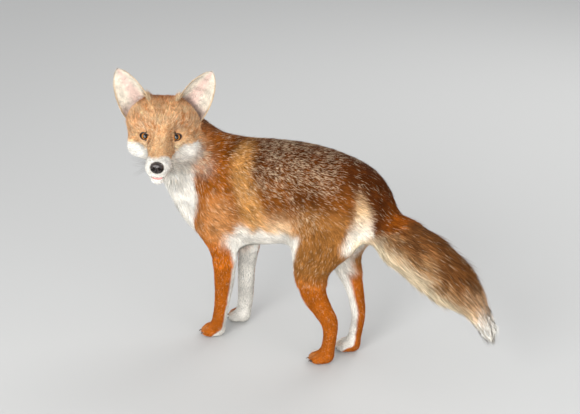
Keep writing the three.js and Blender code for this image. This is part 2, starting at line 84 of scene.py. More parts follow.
def on_path(line, at):
    """The points of a path at these distances along it."""
    line = np.array(line, float)
    steps = np.linalg.norm(np.diff(line, axis=0), axis=1)
    lengths = np.concatenate(([0], np.cumsum(steps)))
    return np.column_stack([np.interp(at, lengths, line[:, i]) for i in range(3)])


def ramp(x, a, b):
    """0 at a, 1 at b, smooth between; b may be the lower."""
    t = np.clip((x - a) / (b - a), 0.0, 1.0)
    return t * t * (3 - 2 * t)


def unit(v):
    return v / np.maximum(np.linalg.norm(v, axis=-1, keepdims=True), 1e-12)


def mixed(a, b, share):
    share = np.asarray(share)[..., None]
    return a + (b - a) * share


def cloud(p, size, seed):
    """Smooth random values from -1 to 1 over space, with lumps about this size."""
    q = p / size
    cell = np.floor(q).astype(np.int64)
    f = q - cell
    f = f * f * (3 - 2 * f)
    total = np.zeros(len(p))
    for corner in range(8):
        step = np.array([corner & 1, corner >> 1 & 1, corner >> 2])
        c = cell + step
        key = (c[:, 0] * 73856093) ^ (c[:, 1] * 19349663) ^ (c[:, 2] * 83492791) ^ (seed * 2654435)
        key = (key ^ (key >> 13)) * 1274126177
        value = ((key ^ (key >> 16)) & 0xFFFF) / 32767.5 - 1
        total += value * np.prod(np.where(step, f, 1 - f), axis=1)
    return total


def spot(p, at, size, soft=0.4):
    """1 within an ellipsoid, fading to 0 across its edge."""
    out = np.linalg.norm((p - np.array(at)) / np.array(size), axis=1)
    return ramp(out, 1 + soft, 1 - soft)


def spotted(c, p, spots):
    """A colour with soft spots over it: each one's colour, strength, place, size and softness."""
    for colour, strength, at, size, soft in spots:
        c = mixed(c, colour, strength * spot(p, at, size, soft))
    return c


def along_line(p, line):
    """Distance of each point from a path of points, and how far along the path its nearest is."""
    line = np.array(line, float)
    lengths = np.linalg.norm(np.diff(line, axis=0), axis=1)
    best, at, way = np.full(len(p), np.inf), np.zeros(len(p)), np.zeros((len(p), 3))
    for i, length in enumerate(lengths):
        step = line[i + 1] - line[i]
        t = np.clip((p - line[i]) @ step / length**2, 0, 1)
        gap = np.linalg.norm(p - line[i] - t[:, None] * step, axis=1)
        near = gap < best
        best[near], at[near] = gap[near], lengths[:i].sum() + t[near] * length
        way[near] = step / length
    return best, at, way


def folded(p):
    """One half laid over the other."""
    return np.column_stack((p[:, 0], np.abs(p[:, 1]), p[:, 2]))


# ---- Meshes --------------------------------------------------------------------------------


def only(piece):
    bpy.ops.object.select_all(action="DESELECT")
    piece.select_set(True)
    bpy.context.view_layer.objects.active = piece


def added(piece):
    bpy.context.scene.collection.objects.link(piece)
    return piece


def built(name, points, faces):
    """An object from an array of points in metres and arrays of faces with like corner counts."""
    mesh = bpy.data.meshes.new(name)
    mesh.vertices.add(len(points))
    mesh.vertices.foreach_set("co", np.asarray(points, np.float32).ravel())
    faces = [f for f in faces if len(f)]
    corners = np.concatenate([f.ravel() for f in faces]).astype(np.int32)
    sizes = np.concatenate([np.full(len(f), f.shape[1]) for f in faces]).astype(np.int32)
    mesh.loops.add(len(corners))
    mesh.loops.foreach_set("vertex_index", corners)
    mesh.polygons.add(len(sizes))
    mesh.polygons.foreach_set("loop_start", (np.cumsum(sizes) - sizes).astype(np.int32))
    mesh.polygons.foreach_set("loop_total", sizes)
    mesh.update(calc_edges=True)
    return added(bpy.data.objects.new(name, mesh))


def numbers(items, what, width, kind=np.float32):
    values = np.empty(len(items) * width, kind)
    items.foreach_get(what, values)
    return values.reshape(-1, width) if width > 1 else values


def points_of(piece):
    return numbers(piece.data.vertices, "co", 3).astype(float)


def normals_of(piece):
    return numbers(piece.data.vertices, "normal", 3).astype(float)


def reshape(piece, points):
    piece.data.vertices.foreach_set("co", np.asarray(points, np.float32).ravel())
    piece.data.update()


def give(piece, name, values):
    """A named value, or colour, at each vertex."""
    wide = np.ndim(values) == 2
    kind, what = ("FLOAT_COLOR", "color") if wide else ("FLOAT", "value")
    attribute = piece.data.attributes.new(name, kind, "POINT")
    if wide:
        values = np.column_stack((values, np.ones(len(values))))
    attribute.data.foreach_set(what, np.asarray(values, np.float32).ravel())


def modify(piece, kind, **settings):
    only(piece)
    modifier = piece.modifiers.new(kind.title(), kind)
    for name, value in settings.items():
        setattr(modifier, name, value)
    bpy.ops.object.modifier_apply(modifier=modifier.name)


def joined(pieces, name):
    bpy.ops.object.select_all(action="DESELECT")
    for piece in pieces:
        piece.select_set(True)
    bpy.context.view_layer.objects.active = pieces[0]
    bpy.ops.object.join()
    pieces[0].name = pieces[0].data.name = name
    return pieces[0]


def smooth(piece):
    piece.data.polygons.foreach_set("use_smooth", np.ones(len(piece.data.polygons), bool))


def spread(values, edges, rounds):
    """Each vertex's values moved towards the mean of its neighbours', over and over."""
    a, b = edges[:, 0], edges[:, 1]
    count = np.bincount(edges.ravel(), minlength=len(values))
    values = values.copy()
    for _ in range(rounds):
        for column in values.T:
            total = np.bincount(a, column[b], len(column)) + np.bincount(b, column[a], len(column))
            column += 0.6 * (total / np.maximum(count, 1) - column)
    return values


# ---- Camera, light and floor ---------------------------------------------------------------

CAMERA_AT = (901.1, -1742.4, 1108.9)
LOOKS_AT = (-56.6, 58.6, 284.7)
LENS, SENSOR = 73.74, 36
LIT_AT = Vector((-0.05, 0.05, 0.25))
LIGHTS = {  # place in metres, power in watts, width in metres
    "key": ((0.0, -2.6, 1.5), 58, 1.3),
    "front": ((0.75, -2.2, 0.5), 32, 1.2),
    "fill": ((2.4, -1.1, 0.9), 14, 1.6),
    "back": ((0.3, 2.3, 2.2), 30, 1.6),
}
SKY, SKY_STRENGTH = (0.97, 0.98, 1, 1), 0.8
FLOOR_COLOUR, FLOOR_SIZE = (0.5, 0.5, 0.49, 1), 40


def facing(way):
    return way.to_track_quat("-Z", "Y").to_euler()


def studio():
    camera = added(bpy.data.objects.new("camera", bpy.data.cameras.new("camera")))
    camera.location = Vector(CAMERA_AT) * MM
    camera.rotation_euler = facing((Vector(LOOKS_AT) - Vector(CAMERA_AT)).normalized())
    camera.data.lens, camera.data.sensor_width = LENS, SENSOR
    bpy.context.scene.camera = camera
    for name, (at, power, width) in LIGHTS.items():
        light = added(bpy.data.objects.new(name, bpy.data.lights.new(name, "AREA")))
        light.location = at
        light.rotation_euler = facing(LIT_AT - Vector(at))
        light.data.shape, light.data.energy, light.data.size = "DISK", power, width
    world = bpy.data.worlds.new("studio")
    world.use_nodes = True
    sky = world.node_tree.nodes["Background"].inputs
    sky["Color"].default_value, sky["Strength"].default_value = SKY, SKY_STRENGTH
    bpy.context.scene.world = world
    bpy.context.scene.view_settings.view_transform = "Standard"
    bpy.ops.mesh.primitive_plane_add(size=FLOOR_SIZE, location=(0, 0, 0))
    floor = bpy.context.object
    floor.name = "floor"
    matt = bpy.data.materials.new("pale floor")
    matt.use_nodes = True
    shader = matt.node_tree.nodes["Principled BSDF"]
    shader.inputs["Base Color"].default_value = FLOOR_COLOUR
    shader.inputs["Roughness"].default_value = 0.9
    floor.data.materials.append(matt)


studio()

# ---- The coat's make-up --------------------------------------------------------------------

# Depth of the coat, length and width of a lock, and locks to the square centimetre of skin.
COAT = {
    "muzzle": (1.0, 4.5, 0.5, 130),
    "lower_jaw": (1.2, 5.5, 0.55, 110),
    "head": (3.4, 9.2, 0.62, 105),
    "ear_left": (0.7, 5, 0.5, 85),
    "ear_right": (0.7, 5, 0.5, 85),
    "neck": (12, 27, 1.0, 50),
    "chest": (10, 23, 0.95, 45),
    "belly": (9, 22, 0.95, 45),
    "rump": (9.5, 23, 0.95, 46),
    "tail_root": (15, 30, 1.0, 50),
    "tail_middle": (22, 44, 1.1, 54),
    "tail_tip": (16, 52, 1.0, 85),
}
for part, make in (
    ("fore_%s_upper", (6, 15, 0.85, 62)),
    ("hind_%s_upper", (7.5, 18, 0.85, 58)),
    ("fore_%s_lower", (2.0, 7.5, 0.62, 82)),
    ("hind_%s_lower", (2.2, 8, 0.62, 82)),
    ("fore_%s_paw", (1.2, 5, 0.55, 85)),
    ("hind_%s_paw", (1.2, 5, 0.55, 85)),
):
    for hand in ("left", "right"):
        COAT[part % hand] = make
CHEEK_COAT, EAR_FOOT_COAT = (7.5, 19, 0.85, 75), (7, 19, 0.75, 95)
FINE_COATS = (  # round the eyes and up the bridge: place on the head, size, and the coat there
    ((0, 29, 0), (17, 19, 17), (0.6, 2.8, 0.42, 170)),
    ((22, 0, 2), (24, 22, 22), (1.1, 4.8, 0.5, 120)),
    ((3, 28, 0), (12, 14, 11), (0.25, 1.6, 0.36, 170)),
)
EARS = ("ear_left", "ear_right")
HEAD_PARTS = ("head", "muzzle", "lower_jaw")
FLESH = [name for name in COAT if name not in EARS]
REGIONS = list(COAT)

# The lie of the coat down each leg and along the tail follows these paths.
LEG_PATHS = {
    "fore_left": [(8, -46, 245), (27, -48, 198), (30, -46, 165), (28, -44, 134), (23, -42, 100),
                  (18, -41, 70), (13, -40, 44), (7, -39, 22), (-18, -37, 8)],
    "fore_right": [(10, 45, 245), (30, 46, 198), (33, 42, 162), (30, 39, 130), (28, 38, 100),
                   (27, 38, 70), (25, 38, 44), (21, 38, 22), (-5, 36, 8)],
    "hind_left": [(246, -39, 275), (226, -44, 232), (215, -46, 196), (213, -45, 168),
                  (219, -43, 140), (235, -41, 113), (250, -39, 88), (252, -38, 64),
                  (249, -37, 42), (245, -37, 22), (219, -35, 8)],
    "hind_right": [(262, 38, 275), (248, 42, 232), (244, 41, 198), (252, 37, 168), (263, 34, 141),
                   (271, 32, 116), (277, 30, 90), (277, 29, 66), (273, 28, 44), (269, 28, 22),
                   (243, 26, 8)],
}
TAIL_PATH = [(322, 0, 290), (348, -3, 276), (378, -8, 262), (410, -14, 250), (443, -20, 233),
             (480, -24, 213), (514, -27, 189), (539, -28, 158), (552, -29, 134), (560, -30, 112)]
BREAST_PATH = [(-74, -66, 372), (-74, -56, 350), (-72, -40, 310), (-58, -22, 268), (-38, -8, 230),
               (-12, 0, 200)]
TRUNK_X = (-70, -46, -10, 40, 90, 140, 190, 235, 275, 305, 330)
TRUNK_TOP = (330, 366, 396, 404, 409, 413, 414, 408, 396, 372, 340)
TRUNK_BOTTOM = (242, 210, 186, 190, 203, 214, 221, 230, 238, 243, 249)

# Where the front of each ear stands on the head, from the crown outwards.
EAR_FOOT = [(-40, 15, 56), (-28, 28, 48), (-23, 44, 36), (-25, 58, 18), (-34, 67, 2)]

# ---- Skin ----------------------------------------------------------------------------------

EYE_BALL = 10.0  # radius
GAZE = unit(np.array([0.937, 0.088, 0.337]))  # in the head's frame
EYES = {side: np.array([0.9, 28.2 * side, 0.4]) - EYE_BALL * GAZE for side in (1, -1)}
NOSE_AT = np.array([78.0, 0.0, -30.0])
NOSE_SIZE = np.array([11.0, 11.6, 9.6])
SKIN_CELL = 3.2
EYE_PLUG = (13, 14, 10)  # half widths of the lump that fills each eye's hollow
TIP_FROM = 200  # how far along the tail the coat outgrows the solid
TIP_CORE = 0.62  # how much of the tail's half width its coat may take up there
TIP_DRAWN_IN = 20  # how much shorter than the brush the skin of the tail is


def solid_copy(name):
    return added(bpy.data.objects.new(name + "_copy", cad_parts[name].data.copy()))


def plug(at, size):
    """A closed lump that fills a hollow of the head's solids."""
    bpy.ops.mesh.primitive_uv_sphere_add(segments=24, ring_count=16, radius=1)
    lump = bpy.context.object
    reshape(lump, on_head(points_of(lump) * size + at))
    return lump


def remeshed(piece, cell):
    modify(piece, "REMESH", mode="VOXEL", voxel_size=cell * MM)


def edges_of(piece):
    return numbers(piece.data.edges, "vertices", 2, np.int32)


class Regions:
    """Which solid each point of a surface belongs to, with its values run smoothly together."""

    def __init__(self):
        points, faces, self.owner = [], [], []
        for number, name in enumerate(REGIONS):
            if name in EARS:
                continue
            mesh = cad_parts[name].data
            start = sum(map(len, points))
            points.append(numbers(mesh.vertices, "co", 3))
            loops = numbers(mesh.loops, "vertex_index", 1, np.int32).reshape(-1, 3)
            faces.append(loops + start)
            self.owner += [number] * len(loops)
        self.tree = BVHTree.FromPolygons(
            np.concatenate(points).tolist(), np.concatenate(faces).tolist())

    def of(self, points):
        return np.array([self.owner[self.tree.find_nearest(p)[2]] for p in points.tolist()])


regions = Regions()


def make_up(p, region, edges, rounds):
    """The coat's depth, lock length, lock width and lock count at each point, in four columns."""
    values = spread(np.array([COAT[name] for name in REGIONS], float)[region], edges, rounds)
    h = to_head(p)
    low = ramp(h[:, 2], 2, -28)
    cheek = spot(np.abs(h), (30, 50, 42), (40, 34, 34)) * ramp(h[:, 0], 22, 0) * low
    values = mixed(values, np.array(CHEEK_COAT), cheek)
    foot = ramp(along_line(folded(h), EAR_FOOT)[0], 19, 9)
    values = mixed(values, np.array(EAR_FOOT_COAT), foot)
    for at, size, what in FINE_COATS:
        values = mixed(values, np.array(what), spot(folded(h), at, size))
    sole = ramp(p[:, 2], 3, 0.5)
    values[:, 0] *= 1 - sole
    values[:, 3] *= 1 - sole
    return values


def skin_body():
    """One closed skin over all but the ears, a coat's depth inside the solids."""
    copies = [solid_copy(name) for name in FLESH]
    copies += [solid_copy(name) for name in ("nose", "eye_left", "eye_right")]
    for side in (-1, 1):
        copies.append(plug((-9, 27 * side, 0), EYE_PLUG))
    body = joined(copies, "skin")
    remeshed(body, SKIN_CELL)
    modify(body, "SMOOTH", factor=0.5, iterations=10)
    p, edges = planned(points_of(body)), edges_of(body)
    depth = make_up(p, regions.of(points_of(body)), edges, 60)[:, 0]
    tail = along_line(p, TAIL_PATH)
    depth = np.where(tail[1] > TIP_FROM, np.minimum(depth, tail[0] * TIP_CORE), depth)
    inwards = spread(normals_of(body) * depth[:, None], edges, 8)
    shorten = ramp(tail[1], 205, 290) * (tail[0] < 70) * (p[:, 0] > 470)
    p = p - inwards - TIP_DRAWN_IN * shorten[:, None] * tail[2]
    reshape(body, placed(p))
    remeshed(body, SKIN_CELL)
    modify(body, "SMOOTH", factor=0.5, iterations=6)
    return body


def refine(piece, chosen):
    """Splits every face of the chosen vertices once more."""
    only(piece)
    mesh = piece.data
    loops = numbers(mesh.loops, "vertex_index", 1, np.int32)
    starts = numbers(mesh.polygons, "loop_start", 1, np.int32)
    picked = np.logical_and.reduceat(chosen[loops], starts)
    mesh.vertices.foreach_set("select", np.zeros(len(mesh.vertices), bool))
    mesh.edges.foreach_set("select", np.zeros(len(mesh.edges), bool))
    mesh.polygons.foreach_set("select", picked)
    bpy.context.tool_settings.mesh_select_mode = (False, False, True)
    bpy.ops.object.mode_set(mode="EDIT")
    bpy.ops.mesh.subdivide(number_cuts=1)
    bpy.ops.mesh.quads_convert_to_tris()
    bpy.ops.object.mode_set(mode="OBJECT")


# ---- Face ----------------------------------------------------------------------------------

LID = 1.1  # how far the lids stand off the eyeball
HIDDEN = 2.2  # how far inside the eyeball the skin is hidden between the lids
SIGHT = 12.0  # half width of the hollow before each eye
MOUTH_CORNER, MOUTH_FRONT = (24, -41), (80, -52)  # x and z of the lip line


def eye_frame(side):
    """The opening's direction, then from the inner corner to the outer, and upwards."""
    out = unit(np.array([0.94, 0.16 * side, 0.30]))
    across = np.array([-0.2, side, 0.30])
    across = unit(across - (across @ out) * out)
    return out, across, side * np.cross(out, across)


def about_eye(h, side):
    """Distance and direction from an eyeball's middle, angle off its opening and turn round it."""
    out, across, up = eye_frame(side)
    d = h - EYES[side]
    far = np.linalg.norm(d, axis=1)
    way = d / far[:, None]
    angle = np.arccos(np.clip(way @ out, -1, 1))
    return far, way, angle, np.arctan2(way @ up, way @ across)


def from_eyes(h):
    """Distance from the middle of the nearer eyeball."""
    return np.min([np.linalg.norm(h - at, axis=1) for at in EYES.values()], 0)


def opening(turned):
    """The half angle of the almond between the lids, at each angle round it; 0 is outwards."""
    wide = np.where(np.cos(turned) < 0, 71, 58)
    high = np.where(np.sin(turned) < 0, 34, 37)
    out = (np.abs(np.cos(turned) / wide) ** 1.7 + np.abs(np.sin(turned) / high) ** 1.7)
    return np.radians(out ** (-1 / 1.7))


def set_sockets(h, sight):
    """Draws the skin round each eyeball, with lids, and hides it behind the ball within them."""
    h = h.copy()
    for side, centre in EYES.items():
        _, across, up = eye_frame(side)
        # First a hollow before the eye, so that the bridge does not stand in its sight.
        d = h - centre
        ahead = d @ GAZE
        aside = d - ahead[:, None] * GAZE
        off = np.linalg.norm(aside, axis=1)
        wider = sight * (1 + 0.36 * ramp(unit(aside) @ across, -0.1, -0.7))
        clear = (off**4 + wider**4) ** 0.25 - off
        h += unit(aside) * (clear * ramp(ahead, -3, 8) * ramp(ahead, 46, 34))[:, None]
        far, way, angle, turned = about_eye(h, side)
        edge = opening(turned)
        lid = EYE_BALL + LID + 0.5 * ramp(way @ up, 0, 0.5)
        fold = 0.7 * np.exp(-(((angle - edge) / 0.2 - 1.5) ** 2)) * ramp(way @ up, 0.1, 0.5)
        inner = ramp(way @ across, -0.3, -0.8)
        blend = ramp(angle, edge + 0.10 + 0.12 * inner, edge + 0.75 + 0.3 * inner)
        skin = mixed(lid[:, None], np.maximum(far, lid)[:, None], blend)[:, 0] - fold
        deep = EYE_BALL - HIDDEN
        skin = deep + (skin - deep) * ramp(angle, edge - 0.12, edge + 0.02)
        reach = ramp(far, 34, 24) * (angle < 1.9)
        h += way * ((skin - far) * reach)[:, None]
    return h


def lip_height(h):
    share = np.clip((h[:, 0] - MOUTH_CORNER[0]) / (MOUTH_FRONT[0] - MOUTH_CORNER[0]), 0, 1.1)
    height = MOUTH_CORNER[1] + (MOUTH_FRONT[1] - MOUTH_CORNER[1]) * share
    return height + 2.2 * (h[:, 1] / 14) ** 2 * ramp(h[:, 0], 55, 70)


def lip_gap(h):
    """How deep in the mouth's line a point is: 1 in the middle of it, 0 off it."""
    front = ramp(h[:, 0], 62, 74) * ramp(np.abs(h[:, 1]), 16, 9)
    wide = 1.2 + 1.9 * front * ramp(np.abs(h[:, 1]), 13, 6)
    off = (h[:, 2] - lip_height(h) + 0.4 * front) / wide
    return np.exp(-(off**2)) * ramp(h[:, 0], 22, 32), front


def cut_mouth(h, normals):
    gap, front = lip_gap(h)
    chin = spot(h, (72, 0, -64), (18, 17, 9))
    groove = -normals * (gap * (2.0 + 1.6 * front))[:, None]
    pad = spot(folded(h), (62, 14, -36), (14, 9, 8))
    split = np.exp(-((h[:, 1] / 0.9) ** 2)) * ramp(h[:, 2], -34, -39) * ramp(h[:, 2], -50, -46)
    split *= ramp(h[:, 0], 70, 78)
    h = h + groove + normals * (0.8 * pad - 0.9 * split)[:, None]
    return h + np.array((0.5, 0, -2.6)) * chin[:, None]


FACE_LOW, FACE_HIGH = (-22, -50, -78), (110, 50, 26)  # the corners of the finer part
EYE_FINE, EYE_FINEST = 21, 17  # reach of the second and the third refining round each eye


def finish_face(body):
    """Finer faces, then the lids and the mouth."""
    for level in range(3):
        h = to_head(planned(points_of(body)))
        inside = ((h > FACE_LOW) & (h < FACE_HIGH)).all(1)
        by_eye = from_eyes(h)
        if level == 1:
            by_lips = (h[:, 0] > 26) & (np.abs(h[:, 2] - lip_height(h)) < 6)
            inside &= (by_eye < EYE_FINE) | by_lips
        if level == 2:
            inside &= by_eye < EYE_FINEST
        refine(body, inside)
    h = to_head(planned(points_of(body)))
    h = cut_mouth(h, normals_of(body) @ HEAD_TURN)
    h = set_sockets(h, SIGHT)
    by_eye = from_eyes(h)
    even = spread(h, edges_of(body), 20)
    h = set_sockets(mixed(h, even, ramp(by_eye, 21, 15)), 0.0)
    reshape(body, on_head(h))


# ---- Paws ----------------------------------------------------------------------------------

CLAW_SHOWS = 0.82  # how much of each plain cone's length the claw keeps
TOE_HUB = 27  # how far behind the claws the toes start to part
TOE_TOP = 33  # height above the floor where the toes end
GROOVE = 2.9  # depth of the grooves between the toes
GROOVE_WIDE = 1.5  # their half width
TOE_OUT = 0.9  # how far the toes swell
TOE_FORWARD = 2.6  # how far the toes reach out over the claws' roots


def claw_ends(name):
    """The base and the tip of a claw."""
    points = planned(numbers(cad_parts[name].data.vertices, "co", 3))
    middle = points.mean(0)
    tip = points[np.argmax(np.linalg.norm(points - middle, axis=1))]
    far = np.argsort(np.linalg.norm(points - tip, axis=1))
    return points[far[-6:]].mean(0), tip


def part_toes(body):
    """Finer faces on the paws, then grooves between the toes, which reach out to the claws."""
    for finding in (True, False):
        p, normals = planned(points_of(body)), normals_of(body)
        near = np.zeros(len(p), bool)
        moved = p.copy()
        for leg in LEG_PATHS:
            ends = np.array([claw_ends(leg + "_claw_%d" % k) for k in (1, 2, 3, 4)])
            ahead = unit((ends[:, 1] - ends[:, 0]).mean(0) * (1, 1, 0))
            aside = np.cross((0, 0, 1.0), ahead)
            hub = ends[:, 0].mean(0) - TOE_HUB * ahead
            forward, sideways = (p - hub) @ ahead, (p - hub) @ aside
            here = (forward > -2) & (forward < 48) & (np.abs(sideways) < 32)
            here &= p[:, 2] < TOE_TOP
            near |= here
            if finding:
                continue
            toes = np.sort((ends[:, 0] - hub) @ aside)
            open_out = np.clip(forward / TOE_HUB, 0, 1.2) * 0.55 + 0.45
            groove = np.zeros(len(p))
            for a, b in zip(toes, toes[1:]):
                off = (sideways - (a + b) / 2 * open_out) / GROOVE_WIDE
                groove = np.maximum(groove, np.exp(-(off**2)))
            weight = ramp(forward, 5, 19) * ramp(p[:, 2], TOE_TOP, 19) * here
            sole = ramp(p[:, 2], 1, 4)
            swell = TOE_OUT - (GROOVE + TOE_OUT) * groove
            moved += normals * (weight * sole * swell)[:, None]
            end = weight * ramp(forward, 17, 26) * (1 - groove) * ramp(p[:, 2], 2, 6)
            moved += ahead * (TOE_FORWARD * end)[:, None]
        if finding:
            refine(body, near)
        else:
            reshape(body, placed(moved))


# ---- Ears ----------------------------------------------------------------------------------

# Each ear is a leaf rolled about its own length: share of the length, half chord, half roll.
EAR_BASE, EAR_TIP = np.array([-44.0, 44, 26]), np.array([-51.0, 85, 109])
EAR_TURN, EAR_LEAN = 14, 3
EAR_RINGS = ((-0.08, 25, 104), (0, 28, 100), (0.15, 30, 92), (0.32, 30, 78), (0.5, 28, 64),
             (0.66, 24, 52), (0.8, 18, 42), (0.91, 11.5, 34), (0.97, 6, 28), (1.0, 1.2, 24))
EAR_ROWS, EAR_COLUMNS = 44, 31
EAR_THICK = 2.4
EAR_RIDGE, EAR_FURROW = 1.9, 0.9  # height and depth of the folds inside


def ear(side):
    """An ear's points, its faces, and each point's share of the length, roll and wall."""
    base = EAR_BASE * (1, side, 1)
    length = EAR_TIP * (1, side, 1) + (0, EAR_LEAN, 0) - base
    along = unit(length)
    forward = unit(np.array([1.0, 0, 0]) - along[0] * along)
    forward = turn(side * EAR_TURN, Vector(along)) @ forward
    outward = np.cross(along, forward)
    table = np.array(EAR_RINGS)
    share = 1.0 - (1 - np.linspace(0, 1, EAR_ROWS)) ** 1.25 * 1.08
    share[-1] = 0.997
    chord = np.interp(share, table[:, 0], table[:, 1])
    kernel = np.array([0.25, 0.5, 0.25])
    for _ in range(3):
        chord[1:-1] = np.convolve(chord, kernel, "valid")
    roll = np.radians(np.interp(share, table[:, 0], table[:, 2]))
    radius = chord / np.sin(np.minimum(roll, math.pi / 2))
    column = np.sin(np.linspace(-1, 1, EAR_COLUMNS) * math.pi / 2 * 0.98)
    column /= column[-1]
    row, turned = np.meshgrid(share, column, indexing="ij")
    angle = turned * roll[:, None]
    thick = EAR_THICK * (1 - 0.6 * np.abs(turned) ** 3) * np.minimum(1, (1.02 - row) * 8)
    walls = []
    for wall in (0, 1):
        fold = 0.0
        if not wall:
            ridge = np.exp(-(((turned - side * 0.25) / 0.16) ** 2)) * ramp(row, 0.62, 0.2)
            furrow = np.exp(-(((turned + side * 0.12) / 0.12) ** 2)) * ramp(row, 0.75, 0.3)
            fold = EAR_RIDGE * ridge - EAR_FURROW * furrow
        reach = radius[:, None] + thick * wall - fold
        middle = forward * (radius * np.cos(roll))[:, None, None]
        centre = base + row[..., None] * length + middle
        points = centre + outward * (reach * np.sin(angle))[..., None]
        points = points - forward * (reach * np.cos(angle))[..., None]
        walls.append(points)
    points = np.concatenate([wall.reshape(-1, 3) for wall in walls])
    grid = np.arange(EAR_ROWS * EAR_COLUMNS).reshape(EAR_ROWS, EAR_COLUMNS)
    back = grid + grid.size

    def quads(a, b, c, d):
        return np.stack((a, b, c, d), -1).reshape(-1, 4)

    faces = [quads(grid[:-1, :-1], grid[:-1, 1:], grid[1:, 1:], grid[1:, :-1]),
             quads(back[:-1, 1:], back[:-1, :-1], back[1:, :-1], back[1:, 1:]),
             quads(grid[1:, 0], back[1:, 0], back[:-1, 0], grid[:-1, 0]),
             quads(grid[:-1, -1], back[:-1, -1], back[1:, -1], grid[1:, -1]),
             quads(back[0, :-1], grid[0, :-1], grid[0, 1:], back[0, 1:])[:, ::-1],
             quads(grid[-1, :-1], back[-1, :-1], back[-1, 1:], grid[-1, 1:])[:, ::-1]]
    faces = np.concatenate(faces)
    a, b, c = (points[faces[:, i]] for i in range(3))
    if (np.cross(b - a, c - a) * (a - points.mean(0))).sum() < 0:
        faces = faces[:, ::-1]
    outer = np.concatenate((np.zeros(grid.size), np.ones(grid.size)))
    marks = np.column_stack((np.tile(row.ravel(), 2), np.tile(turned.ravel(), 2) * side, outer))
    return points, faces, marks


def with_ears(body):
    """The skin with both ears, and where each ear's points begin."""
    pieces, marks = [body], []
    for side in (1, -1):
        points, faces, mark = ear(side)
        pieces.append(built("ear", on_head(points), [faces]))
        marks.append(mark)
    start = len(body.data.vertices)
    return joined(pieces, "skin"), start, marks


body = skin_body()
finish_face(body)
part_toes(body)
body, ears_start, ear_marks = with_ears(body)
smooth(body)


# ---- Eyes, lids, nose, whiskers and claws ---------------------------------------------------


def sphere(name, segments, rings):
    bpy.ops.mesh.primitive_uv_sphere_add(segments=segments, ring_count=rings, radius=1)
    piece = bpy.context.object
    piece.name = piece.data.name = name
    smooth(piece)
    return piece


CORNEA = 0.75  # how far the cornea stands proud


def eyeball(side):
    """A ball with its pole towards the gaze, and a cornea that stands proud."""
    name = "eyeball_left" if side > 0 else "eyeball_right"
    piece = sphere(name, 64, 48)
    d = unit(points_of(piece))
    across = unit(np.cross((0, 0, 1.0), GAZE))
    up = np.cross(GAZE, across)
    angle = np.degrees(np.arccos(np.clip(d[:, 2], -1, 1)))
    radius = EYE_BALL + CORNEA * ramp(angle, 46, 20)
    h = (d[:, :1] * across + d[:, 1:2] * up + d[:, 2:] * GAZE) * radius[:, None]
    reshape(piece, on_head(h + EYES[side]))
    give(piece, "Off", angle)
    oval = np.degrees(np.arctan2(np.hypot(d[:, 0] * 1.18, d[:, 1] * 0.92), d[:, 2]))
    give(piece, "Pupil", oval)
    give(piece, "Round", np.degrees(np.arctan2(d[:, 1], d[:, 0])))
    return piece


def tubes(name, paths, sides, closed, laid=placed):
    """A piece of round tubes, each along a path of points with a radius at each."""
    points, faces, start = [], [], 0
    for line, radii in paths:
        n = len(line)
        if closed:
            way = unit(np.roll(line, -1, 0) - np.roll(line, 1, 0))
        else:
            way = unit(np.gradient(line, axis=0))
        first = np.cross(way, np.where(np.abs(way[:, 2:]) < 0.9, (0, 0, 1.0), (1.0, 0, 0)))
        first = unit(first)
        second = np.cross(way, first)
        turned = np.arange(sides) * 2 * math.pi / sides
        ring = (first[:, None] * np.cos(turned)[:, None] + second[:, None]
                * np.sin(turned)[:, None])
        points.append((line[:, None] + ring * np.asarray(radii)[:, None, None]).reshape(-1, 3))
        i, j = np.meshgrid(np.arange(n if closed else n - 1), np.arange(sides), indexing="ij")
        a, b = start + i * sides, start + (i + 1) % n * sides
        k = (j + 1) % sides
        faces.append(np.stack((a + j, a + k, b + k, b + j), -1).reshape(-1, 4))
        start += n * sides
        if not closed:
            for end, order in ((0, -1), (n - 1, 1)):
                ring_start = start - n * sides + end * sides
                loop = ring_start + np.arange(sides)[::order]
                faces.append(np.array([[loop[0], loop[i], loop[i + 1], loop[i + 1]]
                                       for i in range(1, sides - 1)])[:, :3])
    piece = built(name, laid(np.concatenate(points)), faces)
    smooth(piece)
    return piece


LID_STEPS, LID_SIDES = 72, 10
LID_OUT, LID_RADIUS = 0.55, 0.95  # how far off the eyeball the rims run, and their half width


def lids():
    """The dark rims of the lids, drawn to a point at the inner corner."""
    paths = []
    for side, centre in EYES.items():
        out, across, up = eye_frame(side)
        turned = np.linspace(0, 2 * math.pi, LID_STEPS, endpoint=False)
        edge = opening(turned) + 0.01
        way = (np.cos(edge)[:, None] * out + np.sin(edge)[:, None]
               * (np.cos(turned)[:, None] * across + np.sin(turned)[:, None] * up))
        inner = ramp(np.cos(turned), -0.3, -0.95)
        line = centre + way * (EYE_BALL + LID_OUT + 0.8 * inner)[:, None]
        radii = LID_RADIUS + 0.35 * ramp(np.sin(turned), 0.2, 0.9) + 0.45 * inner
        paths.append((line, radii))
    return tubes("lids", paths, LID_SIDES, True, on_head)


NOSTRIL = [(0, 4.6, 0.6), (0, 6.2, -1.4), (0, 8.6, -2.4), (0, 10.8, -1.2)]
NOSTRIL_DEEP, NOSTRIL_RIM, NOSE_SPLIT = 4.6, 0.6, 1.1


